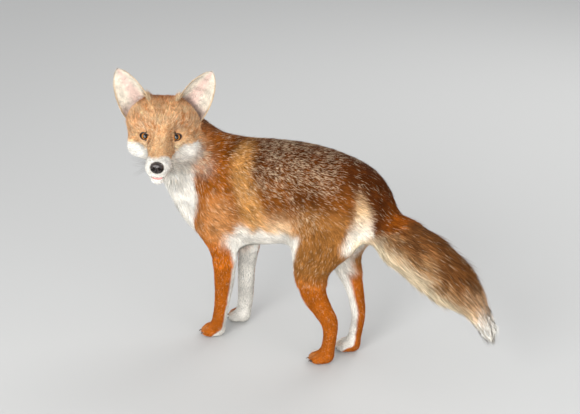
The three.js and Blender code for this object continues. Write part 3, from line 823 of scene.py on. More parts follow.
def nose():
    piece = sphere("nose_leather", 96, 72)
    s = unit(points_of(piece))
    s = np.column_stack((s[:, 2], s[:, 0], s[:, 1]))  # the poles face fore and aft
    shaped = np.sign(s) * np.abs(s) ** 0.86 * NOSE_SIZE
    x, y, z = shaped.T
    y = y * (1 - 0.30 * ramp(z, 2, -10)) * (1 + 0.05 * ramp(z, 2, 8))
    front = ramp(x, 1, 5)
    x = np.where(x > 0, 9.4 * np.tanh(x / 8.5), x)
    across = np.abs(y)
    flat = np.column_stack((np.zeros_like(y), across, z))
    hole = along_line(flat, NOSTRIL)
    pit = np.exp(-((hole[0] / (1.9 - 0.09 * hole[1])) ** 2))
    wing = np.exp(-((hole[0] - 3.4) ** 2) / 2.2)
    split = np.exp(-((y / 0.7) ** 2)) * ramp(z, 2.5, -1)
    x = x - front * (NOSTRIL_DEEP * pit - NOSTRIL_RIM * wing + NOSE_SPLIT * split)
    y = y - np.sign(y) * pit * ramp(across, 8, 11)
    h = np.column_stack((x, y, z)) + NOSE_AT
    reshape(piece, on_head(h))
    # Pit: how deep in a nostril or in the split a point lies, which the leather's finish darkens as
    # painted shade.
    give(piece, "Pit", np.clip(pit * front + 0.7 * split * front, 0, 1))
    return piece


WHISKER_SEED = 31
WHISKER_ROWS = (4, 4, 3)  # how many stand in each row of a side
WHISKER_RADIUS, BROW_RADIUS, TAPER = 0.28, 0.17, 0.85
BROW_HAIR = 20  # length of the long hairs over the eyes


def whiskers():
    rng = np.random.default_rng(WHISKER_SEED)
    paths = []
    for side in (1, -1):
        for row, many in enumerate(WHISKER_ROWS):
            for k in range(many):
                root = np.array([66 - 6 * k, side * (16.5 + 1.2 * k), -30 - 4.4 * row + 0.6 * k])
                reach = rng.uniform(30, 48) * (1 - 0.1 * row) * (0.75 + 0.12 * k)
                way = unit(np.array([-0.55 + 0.16 * row, side * 0.95, 0.12 - 0.34 * row]))
                sag = np.array([-0.5, 0.1 * side, -0.35])
                t = np.linspace(0, 1, 9)[:, None]
                line = root + way * reach * t + sag * reach * 0.36 * t**2
                paths.append((from_head(line), WHISKER_RADIUS * (1 - TAPER * t[:, 0])))
        for k in range(2):
            root = np.array([4.0 - 5 * k, side * (27 + 2 * k), 15.0])
            t = np.linspace(0, 1, 7)[:, None]
            way = unit(np.array([0.1, 0.35 * side, 1.0]))
            line = root + way * BROW_HAIR * t + np.array([-8, 5.0 * side, 0]) * t**2
            paths.append((from_head(line), BROW_RADIUS * (1 - TAPER * t[:, 0])))
    return tubes("whiskers", paths, 5, False)


CLAW_RADIUS, CLAW_BEND = 1.75, 1.3


def claws(names):
    """Curved, tapering claws where the plain cones were."""
    paths = []
    for name in names:
        base, tip = claw_ends(name)
        way = (tip - base) * CLAW_SHOWS
        bend = unit(np.cross(np.cross(way, (0, 0, 1.0)), way))
        t = np.linspace(0, 1, 13)[:, None]
        line = base + way * t + bend * CLAW_BEND * np.sin(math.pi * t)
        paths.append((line, CLAW_RADIUS * (1 - 0.93 * t[:, 0] ** 1.5)))
    return tubes("claws", paths, 12, False)


CLAWS = [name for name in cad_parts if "claw" in name]
details = (  # each piece, its material slot and the nodes it stands for
    (eyeball(1), "eye", ["eye_left"]),
    (eyeball(-1), "eye", ["eye_right"]),
    (lids(), "nose_leather", []),
    (nose(), "nose_leather", ["nose"]),
    (whiskers(), "horn", []),
    (claws(CLAWS), "horn", CLAWS),
)
for piece, slot, nodes in details:
    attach(piece, "root")
    if nodes:
        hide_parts(*nodes)

# ---- Markings ------------------------------------------------------------------------------


def paint(code):
    """A colour written as red, green and blue in hexadecimal, in linear light."""
    c = np.array([int(code[i:i + 2], 16) for i in (0, 2, 4)]) / 255
    return np.where(c <= 0.04045, c / 12.92, ((c + 0.055) / 1.055) ** 2.4)


RUST, TAN, SAND = paint("ac5a12"), paint("cf9660"), paint("c08a4c")
CREAM, WHITE, GREY = paint("ecd6b4"), paint("f1ece2"), paint("bfb8ac")
SADDLE, FLANK, UMBER = paint("55290a"), paint("744012"), paint("38200e")
SHOULDER, THIGH, SHANK = paint("9a5410"), paint("92602e"), paint("b86216")
TAIL_TOP, TAIL_SIDE, TAIL_UNDER = paint("6a4220"), paint("9a7650"), paint("cbb99c")
BROW, FACE, CROWN = paint("b4672a"), paint("e6b482"), paint("8e480f")
NAPE, PALE_BAND = paint("6a360a"), paint("dcb688")
BLACK, PINK, EAR_PINK = paint("14100e"), paint("d88a86"), paint("ecc8bc")
LIP, EAR_BACK = paint("3a2420"), paint("2c1c13")

NECK_PATH = [(-70, -80, 398), (-86, -48, 388), (-74, -20, 366), (-45, -5, 338), (0, 0, 312)]
TRUNK_PATH = [(-90, 0, 286), (-10, 0, 291), (90, 0, 306), (190, 0, 318), (275, 0, 317),
              (330, 0, 295)]
GROUPS = {"head": 0, "muzzle": 0, "lower_jaw": 0, "ear_left": 1, "ear_right": 1, "neck": 2,
          "chest": 2, "belly": 2, "rump": 2, "tail_root": 4, "tail_middle": 4, "tail_tip": 4}


def body_colour(p):
    """Colour, share of pale-banded hair and share of dark-tipped hair over trunk and neck."""
    x, y, z = p.T
    wide = np.abs(y)
    warp = cloud(p, 26, 3) + 0.5 * cloud(p, 11, 4)
    q = p + warp[:, None] * np.array([5, 2, 5])
    m = folded(q)
    low, top = np.interp(x, TRUNK_X, TRUNK_BOTTOM), np.interp(x, TRUNK_X, TRUNK_TOP)
    t = (z - low) / (top - low) + 0.045 * warp
    c = mixed(TAN, FLANK, ramp(t, 0.27, 0.5))
    c = mixed(c, CREAM, 0.5 * ramp(t, 0.44, 0.28) * ramp(x, 60, 100) * ramp(x, 190, 160))
    c = mixed(c, SADDLE, ramp(t, 0.58, 0.94) * ramp(x, 20, 70))
    c = mixed(c, SADDLE * 0.8, 0.7 * spot(m, (205, 66, 338), (34, 30, 26), 0.7))
    c = mixed(c, SHOULDER, 0.95 * ramp(x, 66, 38) * ramp(z, 392, 366))
    c = mixed(c, NAPE, ramp(x, 66, 30) * ramp(z, 366, 392))
    c = mixed(c, TAN, 0.6 * spot(m, (20, 60, 262), (34, 30, 44), 0.8))
    band = along_line(m, [(48, 30, 398), (62, 52, 368), (74, 66, 335), (90, 71, 295),
                          (96, 66, 262)])
    c = mixed(c, SAND, 0.8 * ramp(band[0], 38, 8) * ramp(x, 18, 54))
    c = mixed(c, THIGH, ramp(m[:, 0], 174, 208) * ramp(z, 338, 300) * ramp(wide, 30, 50))
    rump = ramp(x, 286, 318) * ramp(z, 262, 290)
    c = mixed(c, mixed(SADDLE, RUST * 0.62, ramp(x, 330, 352) * ramp(wide, 40, 15)), rump)
    stripe = along_line(m, [(292, 46, 374), (300, 50, 350), (304, 54, 312), (304, 56, 280),
                            (300, 58, 258)])
    pale = mixed(PALE_BAND, mixed(CREAM, WHITE, 0.7), ramp(stripe[1], 40, 96))
    width = np.interp(stripe[1], [0, 50, 90], [15, 22, 29])
    c = mixed(c, pale, ramp(stripe[0] + 3 * warp, width, width - 18) * ramp(stripe[1], -16, 32))
    seat = ramp(m[:, 0], 290, 304) * ramp(z, 288, 268) * ramp(wide, 60, 48)
    c = mixed(c, CREAM, 0.9 * seat)
    haunch = ramp(m[:, 0], 192, 203) * ramp(wide, 38, 48)
    belly = ramp(t, 0.27, 0.2) * ramp(x, 20, 52) * ramp(x, 300, 270) * (1 - haunch)
    elbow = spot(m, (66, 58, 236), (20, 26, 30), 0.3)
    inner = ramp(wide, 34, 22) * ramp(t, 0.5, 0.3)
    # Painted shade: the white of the belly, the elbows and the inner sides is mixed 0.4 of the way
    # to grey.
    c = mixed(c, mixed(WHITE, GREY, 0.4), np.maximum.reduce((belly, elbow * 0.9, inner)))
    # The white of the throat and breast, and the brown of the nape.
    breast = along_line(q, [(-72, -84, 392)] + BREAST_PATH)
    ahead = (q - np.array([-20, -20, 0]))[:, 0] * 0.8 + q[:, 1] * 0.2
    reach = np.interp(breast[1], [0, 12, 34, 90, 190], [14, 22, 44, 54, 34])
    bib = ramp(breast[0], reach + 5, reach - 4) * ramp(z, 392, 376)
    bib *= ramp(ahead, 30, 8) * ramp(z, 178, 196)
    c = mixed(c, WHITE, bib)
    # Painted shade: grey patches on the white near the middle of the throat and breast, under the
    # chin.
    under = ramp(breast[0], 50, 20) * bib * ramp(cloud(p, 13, 5), -0.7, 0.6)
    c = mixed(c, GREY * 0.75, 0.6 * under)
    c = mixed(c, NAPE, ramp(z, 366, 388) * ramp(x, 40, 5))
    pale_hair = 0.07 + 0.17 * ramp(t, 0.4, 0.7) * ramp(x, 60, 100) + 0.08 * ramp(t, 0.3, 0.5)
    pale_hair += 0.18 * spot(m, (225, 62, 365), (46, 30, 24), 0.6)
    pale_hair += 0.26 * spot(m, (203, 68, 300), (20, 30, 26), 0.6)
    pale_hair *= 1 - 0.8 * spot(m, (205, 66, 340), (30, 30, 20), 0.6)
    pale_hair += 0.1 * ramp(x, 80, 110) * ramp(x, 200, 160) * ramp(t, 0.6, 0.8)
    pale_hair *= 1 - 0.8 * ramp(x, 222, 276)
    pale_hair = np.maximum(pale_hair, 0.1 * ramp(x, 66, 30))
    white = np.maximum.reduce((belly, inner, bib, seat))
    dark = 0.35 * ramp(t, 0.55, 0.85) + 0.12
    return c, pale_hair * (1 - 0.8 * white), dark * (1 - white)


def leg_colour(p):
    best = np.full(len(p), np.inf)
    c, where = np.tile(SHANK, (len(p), 1)), np.zeros(len(p))
    for name, path in LEG_PATHS.items():
        gap, at, _ = along_line(p, path)
        near = gap < best
        best = np.minimum(best, gap)
        path = np.array(path, float)[::-1]
        x0, y0 = (np.interp(p[:, 2], path[:, 2], path[:, i]) for i in (0, 1))
        inner = (p[:, 1] - y0) * (1 if "left" in name else -1)
        back = p[:, 0] - x0 + 1.6 * cloud(p, 9, 6)
        size = np.interp(p[:, 2], (20, 110, 200), (13, 18, 30))
        if "fore" in name:
            white = ramp((0.75 * inner + 0.75 * back) / size, 0.28, 0.55)
            white = np.maximum(white, ramp(inner / size, 0.25, 0.5))
        else:
            white = ramp((0.9 * inner - 0.5 * back) / size, 0.35, 0.62)
            white = np.maximum(white, ramp(-back / size, 0.9, 1.02) * ramp(p[:, 2], 110, 150))
        one = mixed(SHANK, THIGH, ramp(p[:, 2], 150, 210) if "hind" in name else 0 * back)
        one = mixed(one, RUST * 1.12, ramp(p[:, 2], 110, 60))
        one = mixed(one, WHITE, white)
        toes = ramp(p[:, 2], 26, 12) * ramp(back, 0, -14)
        one = mixed(one, TAN, 0.45 * toes)
        one = mixed(one, BLACK, ramp(p[:, 2], 2.2, 0.8))
        c = np.where(near[:, None], one, c)
        where = np.where(near, white, where)
    return c, 0.1 * (1 - where), 0.05 * (1 - where)


def tail_colour(p):
    gap, at, way = along_line(p, TAIL_PATH)
    axis = on_path(TAIL_PATH, at)
    rise = unit(np.array([0, 0, 1.0]) - way * way[:, 2:])
    up = ((p - axis) * rise).sum(1) / np.maximum(gap, 6)
    drawn = p - 0.7 * (p * way).sum(1, keepdims=True) * way
    warp = cloud(p, 20, 8) * 0.18 + cloud(drawn, 6, 9) * 0.32
    up += warp
    c = mixed(TAIL_SIDE, TAIL_TOP, ramp(up, 0.1, 0.75))
    c = mixed(c, TAIL_UNDER, ramp(up, 0.25, -0.35))
    c = mixed(c, RUST * 0.65, ramp(at, 60, 20) * ramp(up, 0.2, 0.7))
    c = mixed(c, mixed(TAN, CREAM, 0.4), 0.5 * ramp(at + 20 * warp, 165, 215))
    # Painted shade: umber along the underside of the tail's middle, where shadow falls beneath it.
    c = mixed(c, UMBER, 0.5 * ramp(up, -0.72, -0.95) * ramp(at, 90, 140) * ramp(at, 260, 220))
    c = mixed(c, mixed(WHITE, GREY, 0.1), ramp(at + 34 * warp, 206, 256))
    dark = 0.3 * ramp(up, -0.6, 0.4) + 0.1 * ramp(at, 200, 230) + 0.06
    return c, 0.1 * ramp(up, 0.8, 0) + 0.03, dark


HEAD_SPOTS = (
    (BROW, 0.5, (-14, 26, 22), (22, 20, 12), 0.7),
    (BROW * 0.7, 0.3, (-22, 52, 0), (18, 12, 13), 0.7),
)
PALE_SPOTS = (  # under and over the eyes, and down the bridge
    (CREAM, 0.5, (6, 32, -16), (12, 13, 7), 0.6),
    (CREAM, 0.35, (-6, 27, 16), (10, 12, 5), 0.6),
    (FACE * 1.05, 0.8, (45, 0, 0), (34, 12, 16), 0.6),
)
BRIDGE_LINE = [(-4, 16, 16), (4, 18, 4), (12, 20, -6), (24, 19, -16), (34, 18, -22)]
TEAR_LINE = [(3, 20, -1), (7, 20.5, -4.5), (12, 19, -9), (17, 18, -13)]
WHITE_EDGE = ((-80, -42, -6, 6, 16, 30, 44, 54, 84),  # x, then how high the white reaches
              (-20, -20, -13, -24, -31, -33, -24, -17, -15))


def head_colour(h):
    x, y, z = h.T
    wide = np.abs(y)
    warp = cloud(h, 12, 11) * 1.6 + cloud(h, 5, 12)
    m = folded(h)
    c = mixed(FACE, CROWN, ramp(z + 2 * warp, 34, 58) * ramp(x, -20, -44))
    mottle = 0.6 * ramp(cloud(h, 4.5, 13), -0.1, 0.7) + 0.3 * ramp(cloud(h, 9, 15), 0, 0.8)
    c = mixed(c, BROW, mottle * ramp(z, -2, 14))
    c = spotted(c, m, HEAD_SPOTS)
    c = mixed(c, mixed(CROWN, NAPE, 0.6), 0.9 * ramp(x, -36, -62))
    c = spotted(c, m, PALE_SPOTS)
    line = along_line(m, BRIDGE_LINE)
    c = mixed(c, CROWN * 0.85, 0.75 * ramp(line[0], 5.5, 1.5) * ramp(line[1], 46, 30))
    edge = np.interp(x, *WHITE_EDGE)
    white = ramp(z + warp, edge + 2, edge - 3)
    white *= 1 - ramp(x + 2 * warp, -22, -42) * ramp(wide, 34, 48)
    c = mixed(c, WHITE, white)
    shade = spot(m, (-30, 40, -62), (40, 40, 18), 0.6) + spot(m, (20, 16, -60), (24, 12, 12), 0.5)
    c = mixed(c, GREY, 0.55 * np.clip(shade, 0, 1))
    c = mixed(c, UMBER, 0.8 * spot(h, (47, -7, -4), (1.3, 1.3, 2.5), 0.5))
    for side in EYES:
        far, _, angle, turned = about_eye(h, side)
        ring = ramp(angle - opening(turned), 0.16, 0.05) * ramp(np.cos(turned), -0.7, -0.15)
        c = mixed(c, UMBER * 0.6, ring * (far < 18))
    c = mixed(c, UMBER, 0.85 * ramp(along_line(m, TEAR_LINE)[0], 3.6, 1.2))
    gap, front = lip_gap(h)
    inside = ramp(gap, 0.35, 0.6)
    tongue = ramp(gap, 0.62, 0.8) * front * ramp(wide, 9.5, 7)
    c = mixed(c, mixed(LIP, PINK, tongue), inside)
    nose = np.linalg.norm((h - NOSE_AT) / (NOSE_SIZE + 1.2), axis=1)
    c = mixed(c, BLACK, ramp(nose, 1.03, 0.95))
    pale_hair = 0.38 * ramp(z, 2, 14) * (1 - 0.9 * ramp(z, 32, 50)) * ramp(x, -54, -34) + 0.06
    return c, pale_hair * (1 - white), 0.1 * (1 - white)


def ear_colour(h, marks):
    share, turned, outer = marks.T
    rim = ramp(np.abs(turned), 0.86, 0.97)
    inside = mixed(mixed(CREAM, WHITE, 0.6), EAR_PINK, 0.75 * ramp(np.abs(turned - 0.05), 0.5, 0.1))
    inside = mixed(inside, EAR_PINK * 0.8, 0.6 * ramp(share, 0.32, 0.1) * ramp(rim, 1, 0))
    inside = mixed(inside, FACE, 0.8 * ramp(share, 0.5, 0.12) * ramp(-turned, 0.62, 0.85))
    back = mixed(CROWN, EAR_BACK, ramp(share + 0.05 * cloud(h, 9, 14), 0.2, 0.45))
    back = mixed(back, mixed(SAND, CREAM, 0.5), 0.9 * ramp(np.abs(turned), 0.8, 0.96))
    c = mixed(inside, back, outer)
    c = mixed(c, mixed(CREAM, SAND, 0.35), 0.8 * rim)
    return c, 0.1 - 0.09 * outer, 0.1 * outer


def coat_colours(p, share, marks):
    """Colour, pale-hair share and dark-tip share, from the five parts' shares at each point."""
    h = to_head(p)
    colour, pale, dark = np.zeros((len(p), 3)), np.zeros(len(p)), np.zeros(len(p))
    for k, part in enumerate((head_colour, ear_colour, body_colour, leg_colour, tail_colour)):
        weight = share[:, k]
        use = weight > 0.004
        if not use.any():
            continue
        where = h if part in (head_colour, ear_colour) else p
        found = part(where[use], marks[use]) if part is ear_colour else part(where[use])
        colour[use] += found[0] * weight[use, None]
        pale[use] += found[1] * weight[use]
        dark[use] += found[2] * weight[use]
    # The neck behind and below the cheek in nape and shoulder browns: partly the coat's own colour,
    # partly painted shade under the cheek's ruff.
    behind = spot(h, (-47, 82, -47), (30, 38, 38), 0.5)
    return mixed(colour, mixed(NAPE, SHOULDER, 0.5), 0.85 * behind), pale, dark


# ---- The lie of the coat ---------------------------------------------------------------------


def lie(p, region):
    """Which way the hair runs at each point, before it is laid on the skin."""
    h = to_head(p)
    way = np.tile(np.array([1.0, 0, -0.35]), (len(p), 1))
    top = ramp(p[:, 2], 360, 400)[:, None]
    way += np.array([0.2, 0, 0.35]) * top
    chest = ramp(p[:, 0], 10, -40)[:, None] * ramp(p[:, 2], 390, 350)[:, None]
    side = np.sign(p[:, 1])[:, None] * ramp(np.abs(p[:, 1]), 4, 30)[:, None]
    way = way + chest * (np.array([-0.75, 0, -0.75]) + side * np.array([0, 0.25, 0]))
    for number, name in enumerate(REGIONS):
        use = region == number
        if not use.any():
            continue
        if name in HEAD_PARTS:
            q = h[use]
            one = np.column_stack((-np.ones(len(q)), 1.5 * q[:, 1] / 40, 1.5 * (q[:, 2] + 8) / 40))
            low = ramp(q[:, 2], -30, -55)[:, None]
            one = one + low * np.array([-0.4, 0, 0.2])
            for centre in EYES.values():
                d = q - centre
                far = np.linalg.norm(d, axis=1)
                one = one + unit(d) * (1.6 * ramp(far, 24, 12))[:, None]
            foot = ramp(along_line(folded(q), EAR_FOOT)[0], 20, 9)[:, None]
            up = unit(EAR_TIP - EAR_BASE + (14, 0, 0)) * np.column_stack(
                (np.ones(len(q)), np.where(q[:, 1] < 0, -1, 1), np.ones(len(q))))
            one = one + 3.5 * foot * up
            way[use] = one @ HEAD_TURN.T
        elif name == "neck":
            down = ramp(p[use][:, 2], 400, 360)[:, None]
            nape = unit(np.array([99, 110, -40.0]))
            throat = unit(np.array([0.15, 0.75, -0.8]))
            way[use] = nape * (1 - down) + throat * down
        elif name.startswith("tail"):
            _, _, axis = along_line(p[use], TAIL_PATH)
            way[use] = axis + np.array([0, 0, -0.12])
        elif name[:4] in ("fore", "hind"):
            leg = name.rsplit("_", 1)[0]
            _, _, axis = along_line(p[use], LEG_PATHS[leg])
            way[use] = axis
            if "upper" in name:
                down = ramp(p[use][:, 2], 320, 210)[:, None]
                way[use] = axis * down + (1 - down) * np.array([0.75, 0, -0.6])
    return unit(way)


BARE_RIM = 0.16  # how far out from the opening between the lids no hair grows, in radians


class Skin:
    """The finished skin with what grows on it, all in planned millimetres."""

    def __init__(self, piece):
        mesh = piece.data
        self.points = planned(points_of(piece))
        self.normals = normals_of(piece)
        mesh.calc_loop_triangles()
        self.tris = numbers(mesh.loop_triangles, "vertices", 3, np.int32)
        a, b, c = (self.points[self.tris[:, i]] for i in range(3))
        self.area = np.linalg.norm(np.cross(b - a, c - a), axis=1) / 200
        self.tree = BVHTree.FromPolygons(self.points.tolist(), self.tris.tolist())
        n, edges = len(self.points), edges_of(piece)
        region = np.zeros(n, int)
        region[:ears_start] = regions.of(self.points[:ears_start] * MM + FOOT * MM)
        self.marks = np.zeros((n, 3))
        start = ears_start
        for name, mark in zip(EARS, ear_marks):
            region[start:start + len(mark)] = REGIONS.index(name)
            self.marks[start:start + len(mark)] = mark
            start += len(mark)
        self.region = region
        self.make = make_up(self.points, region, edges, 40)
        group = np.array([GROUPS.get(name, 3) for name in REGIONS])
        upper = np.array(["upper" in name for name in REGIONS])[region]
        kind = group[region]
        high = self.points[:, 2] > np.where(self.points[:, 0] > 130, 226, 216)
        kind = np.where(upper & high, 2, kind)
        share = spread(np.eye(5)[kind], edges, 24)
        self.share = share / share.sum(1, keepdims=True)
        way = lie(self.points, region)
        for name, side in zip(EARS, (1, -1)):
            up = (EAR_TIP - EAR_BASE) * (1, side, 1)
            way[region == REGIONS.index(name)] = unit(up) @ HEAD_TURN.T
        way = spread(way, edges, 30)
        along = (way * self.normals).sum(1, keepdims=True)
        self.way = unit(way - along * self.normals)

    def bare(self):
        """1 where no hair grows: soles, between the lids, in the mouth and under the nose."""
        h = to_head(self.points)
        none = ramp(self.points[:, 2], 2.4, 0.9)
        for side in EYES:
            far, _, angle, turned = about_eye(h, side)
            inner = ramp(np.cos(turned), -0.5, -0.9)
            rim = opening(turned) + BARE_RIM + 0.12 * inner
            none = np.maximum(none, (angle < rim) & (far < 20))
        gap, _ = lip_gap(h)
        none = np.maximum(none, (gap > 0.3) & (self.share[:, 0] > 0.5))
        nose = np.linalg.norm((h - NOSE_AT) / (NOSE_SIZE + 1.0), axis=1)
        none = np.maximum(none, nose < 1.02)
        return none * ~np.isin(self.region, [REGIONS.index(name) for name in EARS])


def nearest(tree, points):
    found = [tree.find_nearest(p) for p in points.tolist()]
    return np.array([f[0] for f in found]), np.array([f[1] for f in found])


LONG_FACES = ((0, 2, 1), (0, 3, 2), (0, 1, 3), (1, 2, 4), (2, 3, 4), (3, 1, 4))
LONG_UV = ((0.5, 0), (0.05, 0.45), (0.95, 0.45), (0.5, 0.6), (0.5, 1))
SHORT_FACES = ((0, 1, 3), (1, 2, 3), (2, 0, 3), (0, 2, 1))
SHORT_UV = ((0, 0), (1, 0), (0.5, -0.25), (0.5, 1))
PATCH = 0.003  # each lock's share of the map's width
GUARD_SHARE = 0.12  # how many of the locks are guard hairs
GUARD_LONG, GUARD_THIN, GUARD_HIGH = 1.25, 0.6, 1.2  # and what sets them apart
ROOT_SUNK = 0.25  # how deep a lock is rooted
MIDDLE = 0.45  # how far along a long lock its bend is
CLUMP_CELL, FLECK_CELL = 3.2 * 1.6, 2.6  # in widths of a lock, and in millimetres
KEYS = np.array([1, 4001, 16008001])  # one number for each cell of space
TAIL_ENDS = (205, 305)  # over this length the tail's coat is drawn to a point


def unwrapped(p, path):
    """Each point's place along a path and round it, from 0 to 1."""
    _, at, way = along_line(p, path)
    axis = on_path(path, at)
    first = unit(np.cross(way, (0.05, 1.0, 0.02)))
    second = np.cross(way, first)
    off = p - axis
    return at + (off * way).sum(1), np.arctan2((off * second).sum(1), (off * first).sum(1))


def fitted(values):
    low, high = values.min(), values.max()
    return 0.004 + 0.988 * (values - low) / (high - low)


def numbered(places):
    """The number of each point's cell of space, counted from 0."""
    cells = np.floor(places).astype(np.int64) @ KEYS
    return np.unique(cells, return_inverse=True)[1].ravel()


def grow(skin, name, chosen, path, seed, clump, long):
    """A piece of coat: closed, tapering locks rooted on the chosen faces of the skin."""
    rng = np.random.default_rng(seed)
    tris = skin.tris[chosen]
    weight = skin.area[chosen] * (skin.make[:, 3] * skin.hairy)[tris].mean(1)
    total = weight.sum()
    n = int(total)
    at = (np.arange(n) + rng.random(n)) * total / n
    face = np.minimum(np.searchsorted(np.cumsum(weight), at), len(tris) - 1)
    a, b = rng.random(n), rng.random(n)
    fold = a + b > 1
    a, b = np.where(fold, 1 - a, a), np.where(fold, 1 - b, b)
    part = np.column_stack((1 - a - b, a, b))
    corners = tris[face]

    def here(values):
        return np.einsum("nk,nkj->nj", part, values[corners])

    root, normal, way = here(skin.points), unit(here(skin.normals)), here(skin.way)
    depth, length, width, _ = here(skin.make).T
    share, marks = here(skin.share), here(skin.marks)
    colour, pale, dark = coat_colours(root, share, marks)
    turned = np.radians(rng.normal(0, 15 if long else 10, n) + 16 * cloud(root, 24, seed + 1))
    way = unit(way - (way * normal).sum(1, keepdims=True) * normal)
    side = np.cross(normal, way)
    way = way * np.cos(turned)[:, None] + side * np.sin(turned)[:, None]
    side = np.cross(normal, way)
    guard = rng.random(n) < GUARD_SHARE
    length = length * rng.uniform(0.72, 1.15, n) * np.where(guard, GUARD_LONG, 1)
    width = width * rng.uniform(0.75, 1.25, n) * np.where(guard, GUARD_THIN, 1)
    tallest = 1.2 if name == "coat_tail" else 1.05
    rise = depth * rng.uniform(0.55, tallest, n) * np.where(guard, GUARD_HIGH, 1)
    root = root - ROOT_SUNK * normal
    if long:
        middle = root + way * (MIDDLE * length)[:, None] + normal * (0.6 * rise)[:, None]
        ground, up = nearest(skin.tree, middle)
        middle = ground + up * (0.66 * rise)[:, None]
        onwards = unit(middle - root)
        level = unit(onwards - (onwards * up).sum(1, keepdims=True) * up)
        tip = ground + level * (0.55 * length)[:, None] + up * rise[:, None]
        ground, up = nearest(skin.tree, tip)
        beyond = np.linalg.norm(tip - ground, axis=1) > rise + 12
        tip = np.where(beyond[:, None], tip, ground + up * rise[:, None])
        if name == "coat_tail":
            _, at, _ = along_line(tip, TAIL_PATH)
            axis = on_path(TAIL_PATH, at)
            draw = ramp(at, *TAIL_ENDS) * rng.uniform(0.4, 0.85, n)
            tip = tip + draw[:, None] * (axis - tip)
    else:
        tip = root + way * length[:, None] + normal * rise[:, None]
    # Neighbouring locks lean together.
    warped = root + 3.0 * np.column_stack([cloud(root, 7, seed + k) for k in (2, 3, 4)])
    clumps = numbered(warped / (CLUMP_CELL * width.mean()))
    members = np.bincount(clumps)[:, None]

    def mean(values):
        sums = np.column_stack([np.bincount(clumps, values[:, i]) for i in range(3)])
        return (sums / members)[clumps]

    lean = (clump * np.where(guard, 0.2, 1))[:, None]
    tip = tip + lean * (mean(tip) + 0.35 * (root - mean(root)) - tip)
    wisp = rng.normal(0, 1, len(members))[clumps]
    flecks = numbered((warped + 50) / FLECK_CELL)
    many = flecks.max() + 1
    own = rng.random(n)
    chance = np.where(rng.random(n) < 0.65, rng.random(many)[flecks], own)
    fleck = rng.normal(0, 1, many)[flecks]
    if name in ("coat_face", "coat_cheeks"):
        kind = rng.random(many)[flecks]
        ruddy = 1 - colour.min(1) / 0.8
        h = to_head(root)
        low = (1 - 0.85 * ramp(h[:, 2], 32, 50)) * ramp(h[:, 0], -52, -30)
        colour = mixed(colour, CREAM, 0.55 * (kind < 0.3) * ruddy * low)
        colour = mixed(colour, BROW, 0.6 * (kind > 0.75) * ruddy)
    varied = (0.12 * wisp + 0.22 * fleck + 0.2 * (own - 0.5)) * (1 - 0.55 * colour.min(1))
    varied *= 0.55 if "lower" in name else 1.5 if name == "coat_tail" else 1.0
    colour = np.clip(colour * np.exp(varied)[:, None], 0, 1)
    ridge = normal * (0.38 * width)[:, None]
    edge = side * (0.5 * width)[:, None]

    def ring(centre, size):
        return [centre - edge * size, centre + edge * size, centre + ridge * size]

    if long:
        points = [root] + ring(middle, 1.0) + [tip]
        along = (0, MIDDLE, MIDDLE, MIDDLE, 1)
        pattern, places = LONG_FACES, LONG_UV
    else:
        points = ring(root, 0.9) + [tip]
        along = (0, 0, 0, 1)
        pattern, places = SHORT_FACES, SHORT_UV
    k = len(points)
    points = np.stack(points, 1).reshape(-1, 3)
    points[:, 2] = np.maximum(points[:, 2], 0.3)
    base = (np.arange(n) * k)[:, None, None]
    faces = (np.array(pattern) + base).reshape(-1, 3)
    piece = built(name, placed(points), [faces])
    smooth(piece)
    give(piece, "Marking", np.repeat(colour, k, 0))
    give(piece, "Along", np.tile(along, n))
    for what, values in (("Chance", chance), ("Pale", pale), ("Dark", dark)):
        give(piece, what, np.repeat(values, k))
    if path is None:
        u, v = marks[:, 0], marks[:, 1] + 2.2 * marks[:, 2]
    else:
        u, v = unwrapped(root, path)
    patch = np.column_stack((fitted(u), fitted(v)))[:, None] + PATCH * np.array(places)
    spots = np.clip(patch.reshape(-1, 2), 0.001, 0.999)
    loops = numbers(piece.data.loops, "vertex_index", 1, np.int32)
    layer = piece.data.uv_layers.new(name="OFBake")
    layer.data.foreach_set("uv", spots[loops].astype(np.float32).ravel())
    soft = np.repeat(normal, k, 0) * 0.75 + unit(points - np.repeat(root, k, 0)) * 0.1
    piece.data.normals_split_custom_set_from_vertices(unit(soft + 0.45 * normals_of(piece)))
    return piece


SHAGGY = 9.5  # from this length on, in millimetres, the head's locks are long ones
HEAD_PATH = [tuple(from_head(np.array(h))) for h in ((-84, 0, -4), (-20, 0, -6), (80, 0, -42))]
skin = Skin(body)
skin.hairy = 1 - skin.bare()
owner = np.array(REGIONS)[skin.region[skin.tris[:, 0]]]
is_head = np.isin(owner, HEAD_PARTS)
shaggy = skin.make[skin.tris, 1].mean(1) > SHAGGY
COAT_SEED = 40
PIECES = {  # the faces it grows on, the path of its map, how far its locks clump, long or short
    "coat_face": (is_head & ~shaggy, HEAD_PATH, 0.25, False),
    "coat_cheeks": (is_head & shaggy, HEAD_PATH, 0.5, True),
    "coat_ears": (np.isin(owner, EARS), None, 0.2, False),
    "coat_neck": (owner == "neck", NECK_PATH, 0.68, True),
    "coat_chest": (owner == "chest", TRUNK_PATH, 0.68, True),
    "coat_belly": (owner == "belly", TRUNK_PATH, 0.68, True),
    "coat_rump": (owner == "rump", TRUNK_PATH, 0.68, True),
    "coat_tail": (np.char.startswith(owner, "tail"), TAIL_PATH, 0.7, True),
}
for leg in LEG_PATHS:
    PIECES["coat_upper_" + leg] = (owner == leg + "_upper", LEG_PATHS[leg], 0.6, True)
    PIECES["coat_lower_" + leg] = (
        (owner == leg + "_lower") | (owner == leg + "_paw"), LEG_PATHS[leg], 0.25, False)
coats = []
for seed, (name, (chosen, path, clump, long)) in enumerate(PIECES.items(), COAT_SEED):
    piece = grow(skin, name, chosen, path, seed, clump, long)
    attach(piece, "root")
    coats.append(piece)

colour, pale, dark = coat_colours(skin.points, skin.share, skin.marks)
give(body, "Marking", colour)
give(body, "Pale", pale)
give(body, "Bare", 1 - skin.hairy)

# ---- Finishes --------------------------------------------------------------------------------


